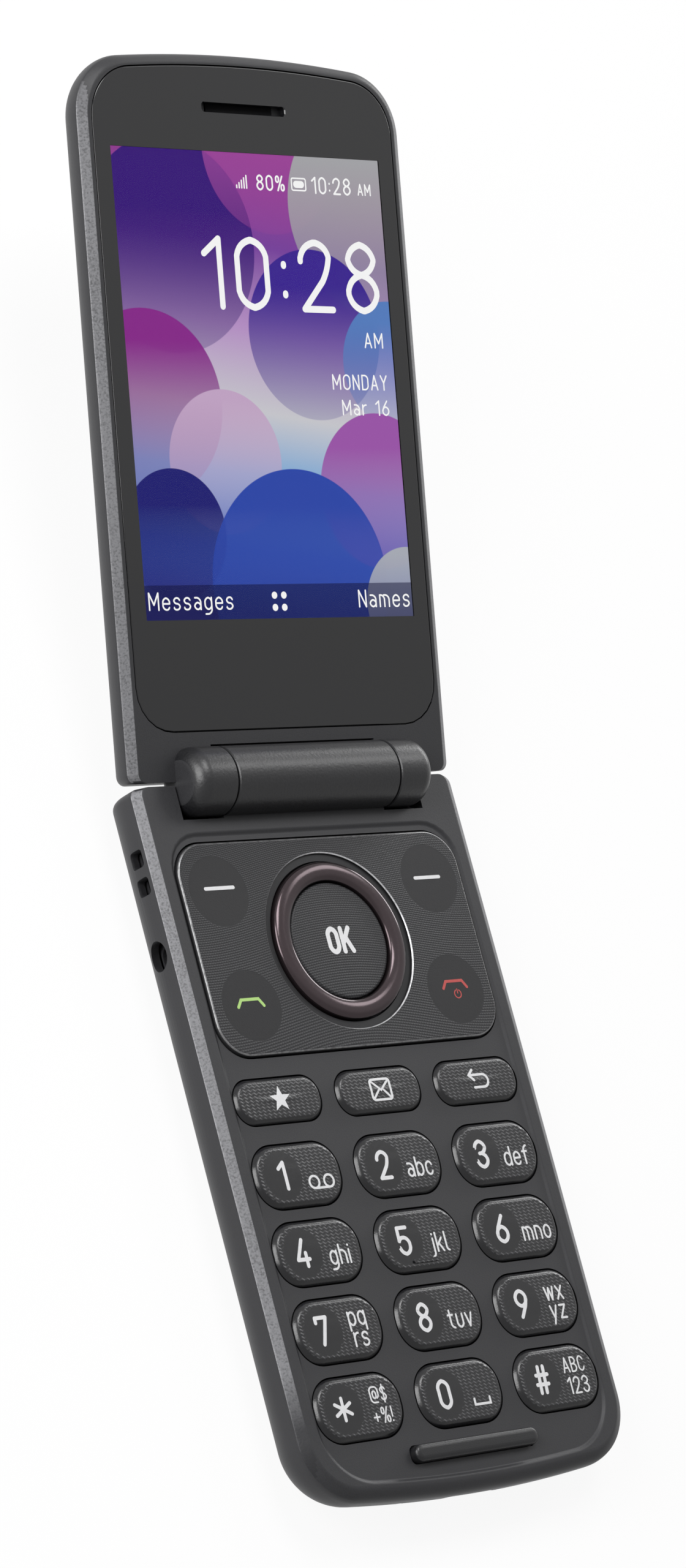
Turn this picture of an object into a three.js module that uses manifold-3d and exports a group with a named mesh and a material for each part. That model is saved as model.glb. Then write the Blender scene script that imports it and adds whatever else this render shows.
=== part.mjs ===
// A folding mobile telephone, lying open on its back.
// Millimetres, +Z up out of the keypad, +Y towards the hinge and the lid, +X to the right.
// The origin is the centre of the flat back of the keypad half.
import * as THREE from 'three';
import { mergeVertices } from 'three/addons/utils/BufferGeometryUtils.js';
import Module from 'manifold-3d';

const wasm = await Module();
wasm.setup();

// Driving dimensions: both halves
const bodyWidth = 58.4;
const faceChamferWidth = 1.4;
const faceChamferDepth = 0.9;
const endRoundDepth = 2.0;
const backEdgeRadius = 7.0;
const freeCornerRadius = 9.0;
const freeEndRadius = 225;
const hingeCornerRadius = 1.3;
const leastRadius = 0.2;
const faceRoundShares = [0, 0.5, 1];
const wall = 1.2;
const seamHeight = 2.0;
const seamGap = 0.3;
const overrun = 4.0;

// Driving dimensions: keypad half
const baseLength = 101.05;
const baseDepth = 9.7;
const baseReliefLength = 15.2;
const baseReliefRadius = 38.5;
const baseEndRoundWidth = 2.0;

// Driving dimensions: lid
const lidLength = 100.9;
const lidDepth = 7.8;
const lidReliefLength = 2.3;
const lidReliefRadius = 2.1;
const lidEndRoundWidth = 1.5;

// Driving dimensions: hinge
const hingeRise = 0.7;
const hingeSetback = 0.15;
const barrelRadius = 4.8;
const knuckleSetback = 7.7;
const knuckleLength = 6.6;
const knuckleGap = 0.3;
const knuckleRounding = 2.3;
const barrelGap = 0.35;
const openTiltDegrees = 15.66;
const hingeBoreRadius = 2.6;
const cartridgeRadius = 2.4;
const barrelWeb = 5.7;
const camShaftRadius = 1.5;
const camShaftReach = 4.0;
const camShaftEntry = 2.0;
const pinRadius = 1.3;
const pinReach = 4.0;
const pinEntry = 6.5;
const runningGap = 0.08;
const boreEndGap = 0.3;

// Keypad: recessed panel, key block and bar
const panelSideBorder = 3.1;
const panelStart = 7.0;
const panelEndBorder = 2.2;
const panelNearRadius = 5.6;
const panelFarRadius = 8.6;
const panelDepth = 0.3;
const panelSlope = 0.5;
const keyBlockSideGap = 0.52;
const keyBlockEndBorder = 8.89;
const keyColumnGap = 2.93;
const keyRowGap = 1.93;
const keyEndFlat = 0.8;
const plateKeyGap = 3.1;
const functionKeyHeight = 6.3;
const functionKeyEndFlat = 0.5;
const functionRowGap = 2.97;
const keyRise = 0.6;
const keyEdge = 0.45;
const keyGap = 0.2;
const keyFlange = 0.45;
const keyFlangeThickness = 0.4;
const keySeat = 0.1;
const keyTravel = 0.3;
const pressGap = 0.06;
const barLength = 22.2;
const barWidth = 2.4;
const barEndBorder = 5.95;
const barRise = 1.4;
const barSeat = 0.45;
const barEdge = 0.4;
const barGap = 0.1;

// Navigation plate, ring and OK key
const plateSideGap = 0.65;
const plateStart = 8.5;
const plateLength = 30.45;
const plateCornerRadius = 5.1;
const plateRise = 0.5;
const plateEdge = 0.4;
const plateThickness = 1.2;
const plateGap = 0.25;
const ringPlace = 23.6;
const wellRadius = 12.7;
const wellDepth = 0.45;
const ringOuterRadius = 11.4;
const ringInnerRadius = 8.62;
const ringRise = 1.05;
const ringHeight = 1.6;
const ringCrown = 0.65;
const ringGap = 0.25;
const okRadius = 8.4;
const okRise = 0.45;
const okThickness = 1.1;
const okPostRadius = 1.6;
const carrierInset = 1.0;
const carrierThickness = 0.3;
const carrierGap = 0.25;
const carrierHoleRadius = 13.4;
const seatOuterRadius = 11.3;
const seatInnerRadius = 9.0;
const seatThickness = 0.35;
const seatGap = 0.3;

// Layers under the keys
const matThickness = 0.4;
const matSideGap = 0.5;
const matStart = 8.4;
const matEndGap = 0.4;
const domeRadius = 1.9;
const domeHeight = 0.2;
const domeSheetThickness = 0.1;
const boardThickness = 1.0;
const boardSideBorder = 4.8;
const boardStart = 7.6;
const boardEndBorder = 7.6;
const boardCornerRadius = 2.0;
const callSpotInset = 6.85;
const callSpotPlace = 31.9;
const softSpotInset = 6.25;
const softSpotPlace = 15.6;
const ringDomeRadius = 10.0;

// Back of the keypad half
const coverStart = 16.6;
const battery = { halfWidth: 20.0, start: 41.6, endBorder: 11.4, thickness: 4.1, cornerRadius: 1.0 };
const frameGap = 0.3;
const coverSlotCount = 5;
const coverSlotLength = 9.0;
const coverSlotWidth = 1.0;
const coverSlotPitch = 2.2;

// Electrical pieces of the keypad half, each hung under the board unless its height says otherwise
const jackPlace = 23.0;
const jackHeightBelowFace = 3.9;
const jackHoleRadius = 1.97;
const jackBoreRadius = 1.75;
const jackSetback = 2.5;
const jackLength = 12.4;
const jackWidth = 6.0;
const jackThickness = 4.0;
const jackBoreLength = 11.0;
const jackGap = 0.25;
const strapSlotWidth = 2.2;
const strapSlotHeight = 2.5;
const strapSlotBelowFace = 3.0;
const firstStrapSlot = 9.5;
const secondStrapSlot = 13.4;
const usbOpeningWidth = 9.6;
const usbOpeningHeight = 3.0;
const usbBelowFace = 4.1;
const usbWidth = 8.0;
const usbHeight = 2.8;
const usbShell = 0.4;
const usbSetback = 2.4;
const microphoneEndGap = 0.3;
const microphoneSize = { width: 3.0, length: 3.0, height: 1.2, x: -12.0, holeRadius: 0.6 };
const shieldSideGap = 2.1;
const shieldSize = { length: 14.8, height: 1.7, start: 9.8, sheetThickness: 0.3 };
const simReader = { width: 15.6, length: 11.4, height: 1.5, x: -10.2, start: 26.8 };
const speakerSideBorder = 6.7;
const speakerSize = { width: 13.0, length: 18.0, height: 2.9, start: 17.4, ventRadius: 4.6, ventRise: 0.4 };
const motorSideBorder = 8.2;
const motorSize = { width: 8.0, length: 3.2, height: 3.2, start: 10.4 };
const contacts = { width: 8.0, length: 2.2, height: 2.6, x: 5.0, start: 39.2 };
const partGap = 0.1;

// Screws
const screwHeadRadius = 1.3;
const screwHeadHeight = 0.7;
const screwRadius = 0.7;
const screwBossRadius = 1.75;
const screwHoleGap = 0.08;
const hingeScrewSideBorder = 5.6;
const hingeScrewPlace = 5.0;
const freeScrewSideBorder = 8.6;
const freeScrewEndBorder = 5.3;
const screwGrip = 1.0;

// Window, display and what lies behind it
const windowSideBorder = 2.05;
const windowStart = 7.0;
const windowEndBorder = 1.85;
const windowNearRadius = 6.0;
const windowFarRadius = 7.6;
const windowThickness = 1.0;
const windowGap = 0.15;
const windowSeat = 0.3;
const ledgeThickness = 0.6;
const screenSideBorder = 2.75;
const screenStart = 22.2;
const screenEndBorder = 12.0;
const screenOpeningGap = 0.4;
const displayBorder = 1.3;
const displayTail = 3.4;
const displayThickness = 0.7;
const displayGap = 0.2;
const displayTopGap = 0.2;
const earSlotWidth = 15.0;
const earSlotHeight = 1.2;
const earEndBorder = 5.85;
const earMeshThickness = 0.3;
const earMeshGap = 0.15;
const earpiece = { width: 15.0, length: 6.6, height: 2.2, spoutWidth: 12.0, spoutLength: 3.0 };
const lidBoard = { halfWidth: 18.0, length: 36.2, cameraGap: 4.4, thickness: 0.6, cornerRadius: 2.0 };
const lidGap = 0.3;
const magnet = { width: 6.0, length: 3.0, height: 2.0, sideBorder: 11.65, endBorder: 4.6 };
const lidScrewSideBorder = 5.6;
const lidScrewPlace = 5.2;

// Outside of the lid
const cameraEndBorder = 10.45;
const camera = { rimRadius: 4.4, rimProud: 0.4, rimBore: 2.9, rimLip: 0.7,
  lensThickness: 0.6, lensDepth: 0.25, moduleWidth: 7.0, moduleHeight: 1.7, gap: 0.1 };
const outerWindow = { halfWidth: 17.0, length: 33.0, cameraGap: 7.6, cornerRadius: 3.5, thickness: 0.8,
  gap: 0.15, seat: 0.3 };
const outerDisplay = { border: 2.6, thickness: 0.9, opening: 0.3 };

// Numbers of steps in round stretches
const cornerSteps = 6;
const smallCornerSteps = 3;
const bowSteps = 4;
const backSteps = 4;
const roundSides = 24;
const ringSides = 48;
const smallSides = 8;

// Places worked out from the sizes above
const hingeY = baseLength / 2 + hingeSetback;
const halfWidth = bodyWidth / 2;
const baseEnd = hingeSetback + baseLength;
const lidEnd = hingeSetback + lidLength;
const knuckleEnd = halfWidth - knuckleSetback;
const barrelHalfLength = knuckleEnd - knuckleLength - knuckleGap;
const cartridgeLength = barrelHalfLength * 2 - pinEntry - barrelWeb;
const panelHalfWidth = halfWidth - panelSideBorder;
const panelEnd = baseEnd - panelEndBorder;
const barPlace = baseEnd - barEndBorder;
const plateHalfWidth = panelHalfWidth - plateSideGap;
const plateEnd = plateStart + plateLength;
const keyWidth = ((panelHalfWidth - keyBlockSideGap) * 2 - keyColumnGap * 2) / 3;
const keyPitchX = keyWidth + keyColumnGap;
const functionRow = plateEnd + plateKeyGap + functionKeyHeight / 2;
const keyBlockStart = functionRow + functionKeyHeight / 2 + functionRowGap;
const keyPitchY = (baseEnd - keyBlockEndBorder - keyBlockStart + keyRowGap) / 4;
const keyHeight = keyPitchY - keyRowGap;
const firstRow = keyBlockStart + keyHeight / 2;
const boardHalfWidth = halfWidth - boardSideBorder;
const boardEnd = baseEnd - boardEndBorder;
const matHalfWidth = panelHalfWidth - matSideGap;
const matEnd = boardEnd - matEndGap;
const callSpotX = plateHalfWidth - callSpotInset;
const softSpotX = plateHalfWidth - softSpotInset;
const batteryLength = baseEnd - battery.endBorder - battery.start;
const microphone = { ...microphoneSize, start: boardEnd - microphoneEndGap - microphoneSize.length };
const speaker = { ...speakerSize, x: halfWidth - speakerSideBorder - speakerSize.width / 2 };
const motor = { ...motorSize, x: halfWidth - motorSideBorder - motorSize.width / 2 };
const shieldX0 = -halfWidth + jackSetback + jackLength + shieldSideGap;
const shieldX1 = speaker.x - speaker.width / 2 - shieldSideGap;
const shield = { ...shieldSize, width: shieldX1 - shieldX0, x: (shieldX0 + shieldX1) / 2 };
const hingeScrewX = halfWidth - hingeScrewSideBorder;
const freeScrewX = halfWidth - freeScrewSideBorder;
const freeScrewPlace = baseEnd - freeScrewEndBorder;
const windowHalfWidth = halfWidth - windowSideBorder;
const windowEnd = lidEnd - windowEndBorder;
const screenWidth = (windowHalfWidth - screenSideBorder) * 2;
const screenHeight = windowEnd - screenEndBorder - screenStart;
const earPlace = windowEnd - earEndBorder;
const cameraPlace = lidEnd - cameraEndBorder;
const outerWindowEnd = cameraPlace - outerWindow.cameraGap;
const outerWindowStart = outerWindowEnd - outerWindow.length;
const lidBoardEnd = cameraPlace - lidBoard.cameraGap;
const lidScrewX = halfWidth - lidScrewSideBorder;
const panelZ = -panelDepth;
const keyTopZ = panelZ + keyRise;
const keyFlangeTopZ = -wall - keySeat;
const keyBottomZ = keyFlangeTopZ - keyFlangeThickness;
const matTopZ = keyBottomZ - keyTravel - pressGap;
const domeTopZ = matTopZ - matThickness;
const sheetTopZ = domeTopZ - domeHeight;
const boardTopZ = sheetTopZ - domeSheetThickness;
const boardBottomZ = boardTopZ - boardThickness;
const coverInnerZ = -baseDepth + wall;
const seamZ = -baseDepth + seamHeight;
const batteryBottomZ = coverInnerZ + partGap * 2;
const frameTopZ = boardBottomZ - partGap;
const screwHeadTopZ = frameTopZ - screwGrip;
const screwTipZ = -wall * 2;
const plateTopZ = panelZ + plateRise;
const plateBottomZ = plateTopZ - plateThickness;
const ringTopZ = panelZ + ringRise;
const ringBottomZ = ringTopZ - ringHeight;
const lidSeamZ = -lidDepth + seamHeight;
const lidScrewHeadTopZ = lidSeamZ - screwGrip - partGap;
const pocketFloorZ = -windowThickness - windowSeat;
const ledgeBottomZ = pocketFloorZ - ledgeThickness;
const displayBackZ = ledgeBottomZ - displayGap - displayThickness;
const lidBoardTopZ = displayBackZ - lidGap;

/** A closed three.js geometry as a solid that can be joined and cut. */
function solid(geometry) {
  const bare = geometry.index ? geometry.toNonIndexed() : geometry.clone();
  for (const name of Object.keys(bare.attributes)) if (name !== 'position') bare.deleteAttribute(name);
  const merged = mergeVertices(bare, 1e-5);
  const mesh = new wasm.Mesh({
    numProp: 3,
    vertProperties: Float32Array.from(merged.attributes.position.array),
    triVerts: Uint32Array.from(merged.index.array),
  });
  return new wasm.Manifold(mesh);
}

/** A solid as a three.js geometry. */
function geometryOf(body) {
  const mesh = body.getMesh();
  const geometry = new THREE.BufferGeometry();
  geometry.setAttribute('position', new THREE.BufferAttribute(Float32Array.from(mesh.vertProperties), 3));
  geometry.setIndex(Array.from(mesh.triVerts));
  geometry.computeVertexNormals();
  return geometry;
}

const join = (...bodies) => bodies.reduce((all, body) => all.add(body));
const cut = (body, ...tools) => tools.reduce((rest, tool) => rest.subtract(tool), body);

/** Points on an arc, both ends included. */
function arcPoints(cx, cy, radius, from, to, steps) {
  return Array.from({ length: steps + 1 }, (_, k) => {
    const angle = from + (to - from) * k / steps;
    return new THREE.Vector2(cx + radius * Math.cos(angle), cy + radius * Math.sin(angle));
  });
}

/** A rectangle with its two pairs of corners rounded, anticlockwise: the near pair is at the lower y. */
function roundedRectangle(x0, x1, y0, y1, nearRadius, farRadius = nearRadius, steps = cornerSteps) {
  const quarter = Math.PI / 2;
  return [
    ...arcPoints(x1 - nearRadius, y0 + nearRadius, nearRadius, -quarter, 0, steps),
    ...arcPoints(x1 - farRadius, y1 - farRadius, farRadius, 0, quarter, steps),
    ...arcPoints(x0 + farRadius, y1 - farRadius, farRadius, quarter, quarter * 2, steps),
    ...arcPoints(x0 + nearRadius, y0 + nearRadius, nearRadius, quarter * 2, quarter * 3, steps),
  ];
}

/** The outline turned half a turn when it belongs to the keypad half, whose free end is towards -y. */
function facing(points, direction) {
  return direction > 0 ? points : points.map((p) => new THREE.Vector2(-p.x, -p.y));
}

/** An outline with a bowed free end, from y = start to y = end, seen from the face. */
function bowedOutline(sideX, start, end, nearRadius, farRadius, bowRadius) {
  const bowCentre = end - bowRadius;
  const near = Math.max(nearRadius, leastRadius);
  const far = Math.max(farRadius, leastRadius);
  const cornerX = sideX - far;
  const cornerY = bowCentre + Math.sqrt((bowRadius - far) ** 2 - cornerX ** 2);
  const turn = Math.atan2(cornerY - bowCentre, cornerX);
  return [
    ...arcPoints(sideX - near, start + near, near, -Math.PI / 2, 0, smallCornerSteps),
    ...arcPoints(cornerX, cornerY, far, 0, turn, cornerSteps),
    ...arcPoints(0, bowCentre, bowRadius, turn, Math.PI - turn, bowSteps).slice(1, -1),
    ...arcPoints(-cornerX, cornerY, far, Math.PI - turn, Math.PI, cornerSteps),
    ...arcPoints(-sideX + near, start + near, near, Math.PI, Math.PI * 3 / 2, smallCornerSteps),
  ];
}

/** A closed skin over a stack of outlines with equal numbers of points, lowest first. */
function loft(rings) {
  const count = rings[0].points.length;
  const positions = rings.flatMap(({ points, z }) => points.flatMap((p) => [p.x, p.y, z]));
  const triangles = [];
  for (let ring = 0; ring + 1 < rings.length; ring += 1) {
    for (let k = 0; k < count; k += 1) {
      const next = (k + 1) % count;
      const low = ring * count;
      const high = low + count;
      triangles.push(low + k, low + next, high + next, low + k, high + next, high + k);
    }
  }
  const top = (rings.length - 1) * count;
  for (const [a, b, c] of THREE.ShapeUtils.triangulateShape(rings[0].points, [])) triangles.push(c, b, a);
  for (const [a, b, c] of THREE.ShapeUtils.triangulateShape(rings.at(-1).points, [])) {
    triangles.push(top + a, top + b, top + c);
  }
  const geometry = new THREE.BufferGeometry();
  geometry.setAttribute('position', new THREE.Float32BufferAttribute(positions, 3));
  geometry.setIndex(triangles);
  return solid(geometry);
}

function extruded(points, depth) {
  return new THREE.ExtrudeGeometry(new THREE.Shape(points), { depth, bevelEnabled: false });
}

/** A straight prism of an outline between two heights. */
function prism(points, z0, z1) {
  return solid(extruded(points, z1 - z0).translate(0, 0, z0));
}

/** A prism of an outline drawn in the y-z plane, along x. */
function sidePrism(points, x0, x1) {
  return solid(extruded(points, x1 - x0).rotateX(Math.PI / 2).rotateZ(Math.PI / 2).translate(x0, 0, 0));
}

function block(x0, x1, y0, y1, z0, z1) {
  const geometry = new THREE.BoxGeometry(x1 - x0, y1 - y0, z1 - z0);
  return solid(geometry.translate((x0 + x1) / 2, (y0 + y1) / 2, (z0 + z1) / 2));
}

/** A block centred on x and y. */
function pad(x, y, width, length, z0, z1) {
  return block(x - width / 2, x + width / 2, y - length / 2, y + length / 2, z0, z1);
}

/** A rounded rectangle centred on x and y. */
function slotOutline(x, y, width, length, radius, steps = smallCornerSteps) {
  return roundedRectangle(x - width / 2, x + width / 2, y - length / 2, y + length / 2, radius, radius,
    steps);
}

function disc(radius, z0, z1, x, y, sides = roundSides) {
  const geometry = new THREE.CylinderGeometry(radius, radius, z1 - z0, sides).rotateX(Math.PI / 2);
  return solid(geometry.translate(x, y, (z0 + z1) / 2));
}

/** A round bar along x, between the two ends in either order. */
function rod(radius, x0, x1, y, z, sides = roundSides) {
  const geometry = new THREE.CylinderGeometry(radius, radius, Math.abs(x1 - x0), sides).rotateZ(Math.PI / 2);
  return solid(geometry.translate((x0 + x1) / 2, y, z));
}

/** A round bar along y. */
function rodAlongY(radius, y0, y1, x, z, sides = roundSides) {
  const geometry = new THREE.CylinderGeometry(radius, radius, y1 - y0, sides);
  return solid(geometry.translate(x, (y0 + y1) / 2, z));
}

/** A round bar on the hinge line. */
function hingeRod(radius, x0, x1, sides = roundSides) {
  return rod(radius, x0, x1, 0, hingeRise, sides);
}

/** A solid of revolution about z from a closed profile of [radius, height] pairs. */
function turned(profile, x, y, sides = roundSides) {
  const points = [...profile, profile[0]].map(([r, z]) => new THREE.Vector2(r, z));
  const geometry = new THREE.LatheGeometry(points, sides).rotateX(Math.PI / 2);
  return solid(geometry.translate(x, y, 0));
}

/**
 * The block of one half, its surface moved inwards by skin. Its face is z = 0 and its hinge is at y = 0.
 * Where the half is too thin for the whole back edge, the edge stops at the height where the wall ends.
 */
function halfBody(half, skin) {
  const { direction, end, depth, reliefLength, reliefRadius, endRoundWidth } = half;
  const start = hingeSetback + skin;
  const ring = (inset, endInset, z) => ({
    points: facing(bowedOutline(halfWidth - inset, start, end - endInset, hingeCornerRadius,
      freeCornerRadius - endInset, freeEndRadius - endInset), direction),
    z,
  });
  const wallTop = skin > 0 ? -skin : -endRoundDepth;
  const endEdgeRadius = Math.min(backEdgeRadius, depth - endRoundDepth);
  const edgeInset = (radius, z) => {
    const drop = Math.min(0, z + depth - radius);
    return radius - Math.sqrt(Math.max(0, (radius - skin) ** 2 - drop ** 2));
  };
  const leftOver = Math.max(0, backEdgeRadius - depth - wallTop);
  const sweep = Math.acos(leftOver / (backEdgeRadius - skin));
  const rings = [];
  for (let k = 0; k <= backSteps; k += 1) {
    const z = -depth + backEdgeRadius - (backEdgeRadius - skin) * Math.cos(sweep * k / backSteps);
    rings.push(ring(edgeInset(backEdgeRadius, z), edgeInset(endEdgeRadius, z), z));
  }
  if (leftOver === 0) rings.push(ring(skin, skin, wallTop));
  if (skin === 0) {
    for (const share of faceRoundShares) {
      const z = -faceChamferDepth * (1 - share);
      const endInset = endRoundWidth * (1 - Math.sqrt(1 - (1 + z / endRoundDepth) ** 2));
      rings.push(ring(faceChamferWidth * share, endInset, z));
    }
  }
  const arcRadius = reliefRadius - skin;
  const centreZ = -depth + reliefRadius;
  const turn = Math.asin(Math.min(1, (reliefLength - start) / arcRadius));
  const arc = Array.from({ length: backSteps + 1 }, (_, k) => {
    const angle = turn * k / backSteps;
    return [reliefLength - arcRadius * Math.sin(angle), centreZ - arcRadius * Math.cos(angle)];
  });
  const lowZ = -depth - overrun;
  const outside = [...arc, [-overrun, arc.at(-1)[1]], [-overrun, lowZ], [reliefLength, lowZ]];
  const points = outside.map(([y, z]) => new THREE.Vector2(direction * y, z));
  return cut(loft(rings), sidePrism(points, -halfWidth - overrun, halfWidth + overrun));
}

const baseHalf = { direction: -1, end: baseEnd, depth: baseDepth,
  reliefLength: baseReliefLength, reliefRadius: baseReliefRadius, endRoundWidth: baseEndRoundWidth };
const lidHalf = { direction: 1, end: lidEnd, depth: lidDepth,
  reliefLength: lidReliefLength, reliefRadius: lidReliefRadius, endRoundWidth: lidEndRoundWidth };
const everywhere = halfWidth + overrun;
const farEnd = Math.max(baseEnd, lidEnd) + overrun;
const slab = (z0, z1) => block(-everywhere, everywhere, -farEnd, farEnd, z0, z1);
const below = (z) => slab(-baseDepth - overrun, z);
const above = (z) => slab(z, overrun);

const baseOuter = halfBody(baseHalf, 0);
const baseInner = halfBody(baseHalf, wall);
const lidOuter = halfBody(lidHalf, 0);
const lidInner = halfBody(lidHalf, wall);

/** The round wall behind the hinge barrel and knuckles, left standing in both halves. */
function saddle(grow) {
  const reach = knuckleEnd + barrelGap + wall + grow;
  return hingeRod(barrelRadius + barrelGap + wall + grow, -reach, reach);
}

/** One end of the hinge, solid: a round knuckle whose outer edge is rounded. */
function knuckle(side) {
  const inner = barrelHalfLength + knuckleGap;
  const straight = knuckleEnd - knuckleRounding;
  const profile = [[0, inner], [barrelRadius, inner], [barrelRadius, straight]];
  for (let k = 1; k <= cornerSteps; k += 1) {
    const angle = k / cornerSteps * Math.PI / 2;
    profile.push([barrelRadius - knuckleRounding + knuckleRounding * Math.cos(angle),
      straight + knuckleRounding * Math.sin(angle)]);
  }
  profile.push([0, knuckleEnd]);
  const points = profile.map(([r, y]) => new THREE.Vector2(r, y));
  const geometry = new THREE.LatheGeometry(points, roundSides).rotateZ(-Math.PI / 2);
  if (side < 0) geometry.rotateY(Math.PI);
  return solid(geometry.translate(0, 0, hingeRise));
}

// Outlines used by a piece and by the opening that takes it
const keyOutline = ({ x, place, height, radius }, grow) => slotOutline(x, -place, keyWidth + grow * 2,
  height + grow * 2, radius + grow);
const plateOutline = (grow) => roundedRectangle(-plateHalfWidth - grow, plateHalfWidth + grow,
  -plateEnd - grow, -plateStart + grow, plateCornerRadius + grow);
const panelOutline = (inset) => facing(bowedOutline(panelHalfWidth - inset, panelStart + inset,
  panelEnd - inset, panelNearRadius - inset, panelFarRadius - inset, freeEndRadius), -1);
const barOutline = (grow) => slotOutline(0, -barPlace, barLength + grow * 2, barWidth + grow * 2,
  barWidth / 2 - barEdge + grow);
const windowOutline = (grow) => bowedOutline(windowHalfWidth + grow, windowStart - grow, windowEnd + grow,
  windowNearRadius + grow, windowFarRadius + grow, freeEndRadius);
const screenOutline = (grow) => slotOutline(0, screenStart + screenHeight / 2, screenWidth + grow * 2,
  screenHeight + grow * 2, screenOpeningGap);
const outerWindowOutline = (grow) => roundedRectangle(-outerWindow.halfWidth - grow,
  outerWindow.halfWidth + grow, outerWindowStart - grow, outerWindowEnd + grow,
  outerWindow.cornerRadius + grow);

// Places of the keys and the screws
const columns = [-keyPitchX, 0, keyPitchX];
const functionKeys = ['key_favourite', 'key_message', 'key_back'].map((name, k) => ({ name, x: columns[k],
  place: functionRow, height: functionKeyHeight, radius: (functionKeyHeight - functionKeyEndFlat) / 2 }));
const numberKeys = ['key_1', 'key_2', 'key_3', 'key_4', 'key_5', 'key_6', 'key_7', 'key_8', 'key_9',
  'key_star', 'key_0', 'key_hash'].map((name, k) => ({ name, x: columns[k % 3],
  place: firstRow + Math.floor(k / 3) * keyPitchY, height: keyHeight,
  radius: (keyHeight - keyEndFlat) / 2 }));
const allKeys = [...functionKeys, ...numberKeys];
const baseScrewPlaces = [[-hingeScrewX, hingeScrewPlace], [hingeScrewX, hingeScrewPlace],
  [-freeScrewX, freeScrewPlace], [freeScrewX, freeScrewPlace]];
const lidScrewSides = [-lidScrewX, lidScrewX];

/** Keypad-side housing: face, side walls and the middle barrel of the hinge, open at the back. */
function baseFrontHousing() {
  const bosses = baseScrewPlaces.map(([x, place]) => disc(screwBossRadius, boardBottomZ, 0, x, -place));
  const cavity = cut(baseInner, saddle(0), ...bosses);
  const notches = [-1, 1].map((side) => hingeRod(barrelRadius + barrelGap, side * barrelHalfLength,
    side * (knuckleEnd + barrelGap)));
  const tub = cut(baseOuter, cavity, below(seamZ), ...notches);
  const panel = loft([{ points: panelOutline(panelSlope), z: panelZ },
    { points: panelOutline(-panelSlope), z: panelDepth }]);
  const openings = allKeys.map((key) => prism(keyOutline(key, keyGap), -overrun, overrun));
  openings.push(prism(plateOutline(plateGap), -wall - leastRadius, overrun));
  openings.push(prism(barOutline(barGap), panelZ - barSeat, overrun));
  const pilots = baseScrewPlaces.map(([x, place]) => disc(screwRadius + screwHoleGap,
    boardBottomZ - overrun, screwTipZ + screwHoleGap, x, -place, smallSides));
  const barrel = cut(hingeRod(barrelRadius, -barrelHalfLength, barrelHalfLength), ...hingeBores());
  return cut(join(cut(tub, ...hingeBores()), barrel), panel, ...openings, ...pilots, ...wallOpenings());
}

/** Bores in the middle barrel: the left one for the hinge cartridge, the right one for the pin. */
function hingeBores() {
  const cartridgeEnd = -barrelHalfLength + cartridgeLength + boreEndGap;
  const pinEnd = barrelHalfLength - pinEntry - boreEndGap;
  return [
    hingeRod(hingeBoreRadius, -barrelHalfLength - overrun, cartridgeEnd),
    hingeRod(pinRadius + runningGap, pinEnd, barrelHalfLength + overrun),
  ];
}

/** Openings in the side and end walls: headphone socket, strap slots, charging socket and microphone. */
function wallOpenings() {
  const outside = -halfWidth - overrun;
  const inside = -halfWidth + backEdgeRadius / 2;
  const jackHole = rod(jackHoleRadius, outside, inside, -jackPlace, -jackHeightBelowFace);
  const slots = [firstStrapSlot, secondStrapSlot].map((place) => block(outside, inside,
    -place - strapSlotWidth / 2, -place + strapSlotWidth / 2,
    -strapSlotBelowFace - strapSlotHeight / 2, -strapSlotBelowFace + strapSlotHeight / 2));
  const usbPoints = slotOutline(0, 0, usbOpeningWidth, usbOpeningHeight, usbOpeningHeight / 3);
  const usbTool = extruded(usbPoints, backEdgeRadius).rotateX(Math.PI / 2);
  const usbHole = solid(usbTool.translate(0, -baseEnd + backEdgeRadius / 2, -usbBelowFace));
  const microphoneHole = rodAlongY(microphone.holeRadius, -baseEnd - overrun, -baseEnd + backEdgeRadius / 2,
    microphone.x, -usbBelowFace, smallSides);
  return [jackHole, ...slots, usbHole, microphoneHole];
}

/** Inner frame with the battery well, and the strip of back next to the hinge, in one moulding. */
function baseRearHousing() {
  const inside = halfBody(baseHalf, wall + frameGap);
  const nearHinge = block(-everywhere, everywhere, -coverStart + seamGap, overrun, -farEnd, overrun);
  const strip = cut(baseOuter, above(seamZ - seamGap)).intersect(nearHinge);
  const core = cut(inside, above(frameTopZ), cut(below(coverInnerZ + frameGap), nearHinge));
  const { halfWidth: half, start, cornerRadius } = battery;
  const wellOutline = slotOutline(0, -start - batteryLength / 2, (half + frameGap) * 2,
    batteryLength + frameGap * 2, cornerRadius + frameGap);
  const well = prism(wellOutline, -baseDepth - overrun, overrun);
  return cut(join(core, strip), saddle(frameGap), well, ...frameRooms());
}

/** Room in the inner frame for what hangs under the board, the two sockets and the screws. */
function frameRooms() {
  const jackRoom = jackClearance(frameGap, -jackHeightBelowFace - jackThickness / 2 - frameGap);
  const usbHalf = usbWidth / 2 + frameGap;
  const usbRoom = block(-usbHalf, usbHalf, -farEnd, -boardEnd + frameGap,
    -usbBelowFace - usbHeight / 2 - frameGap, overrun);
  const rooms = [microphone, shield, simReader, motor, contacts].map((item) => hung(item, frameGap));
  const speakerRoom = hung(speaker, frameGap, baseDepth);
  const screwRoom = baseScrewPlaces.flatMap(([x, place]) => [
    disc(screwBossRadius + frameGap, frameTopZ - frameGap, overrun, x, -place),
    disc(screwHeadRadius + frameGap, -baseDepth - overrun, screwHeadTopZ, x, -place),
    disc(screwRadius + screwHoleGap, screwHeadTopZ - leastRadius, overrun, x, -place, smallSides)]);
  return [jackRoom, usbRoom, ...rooms, speakerRoom, ...screwRoom];
}

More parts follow.
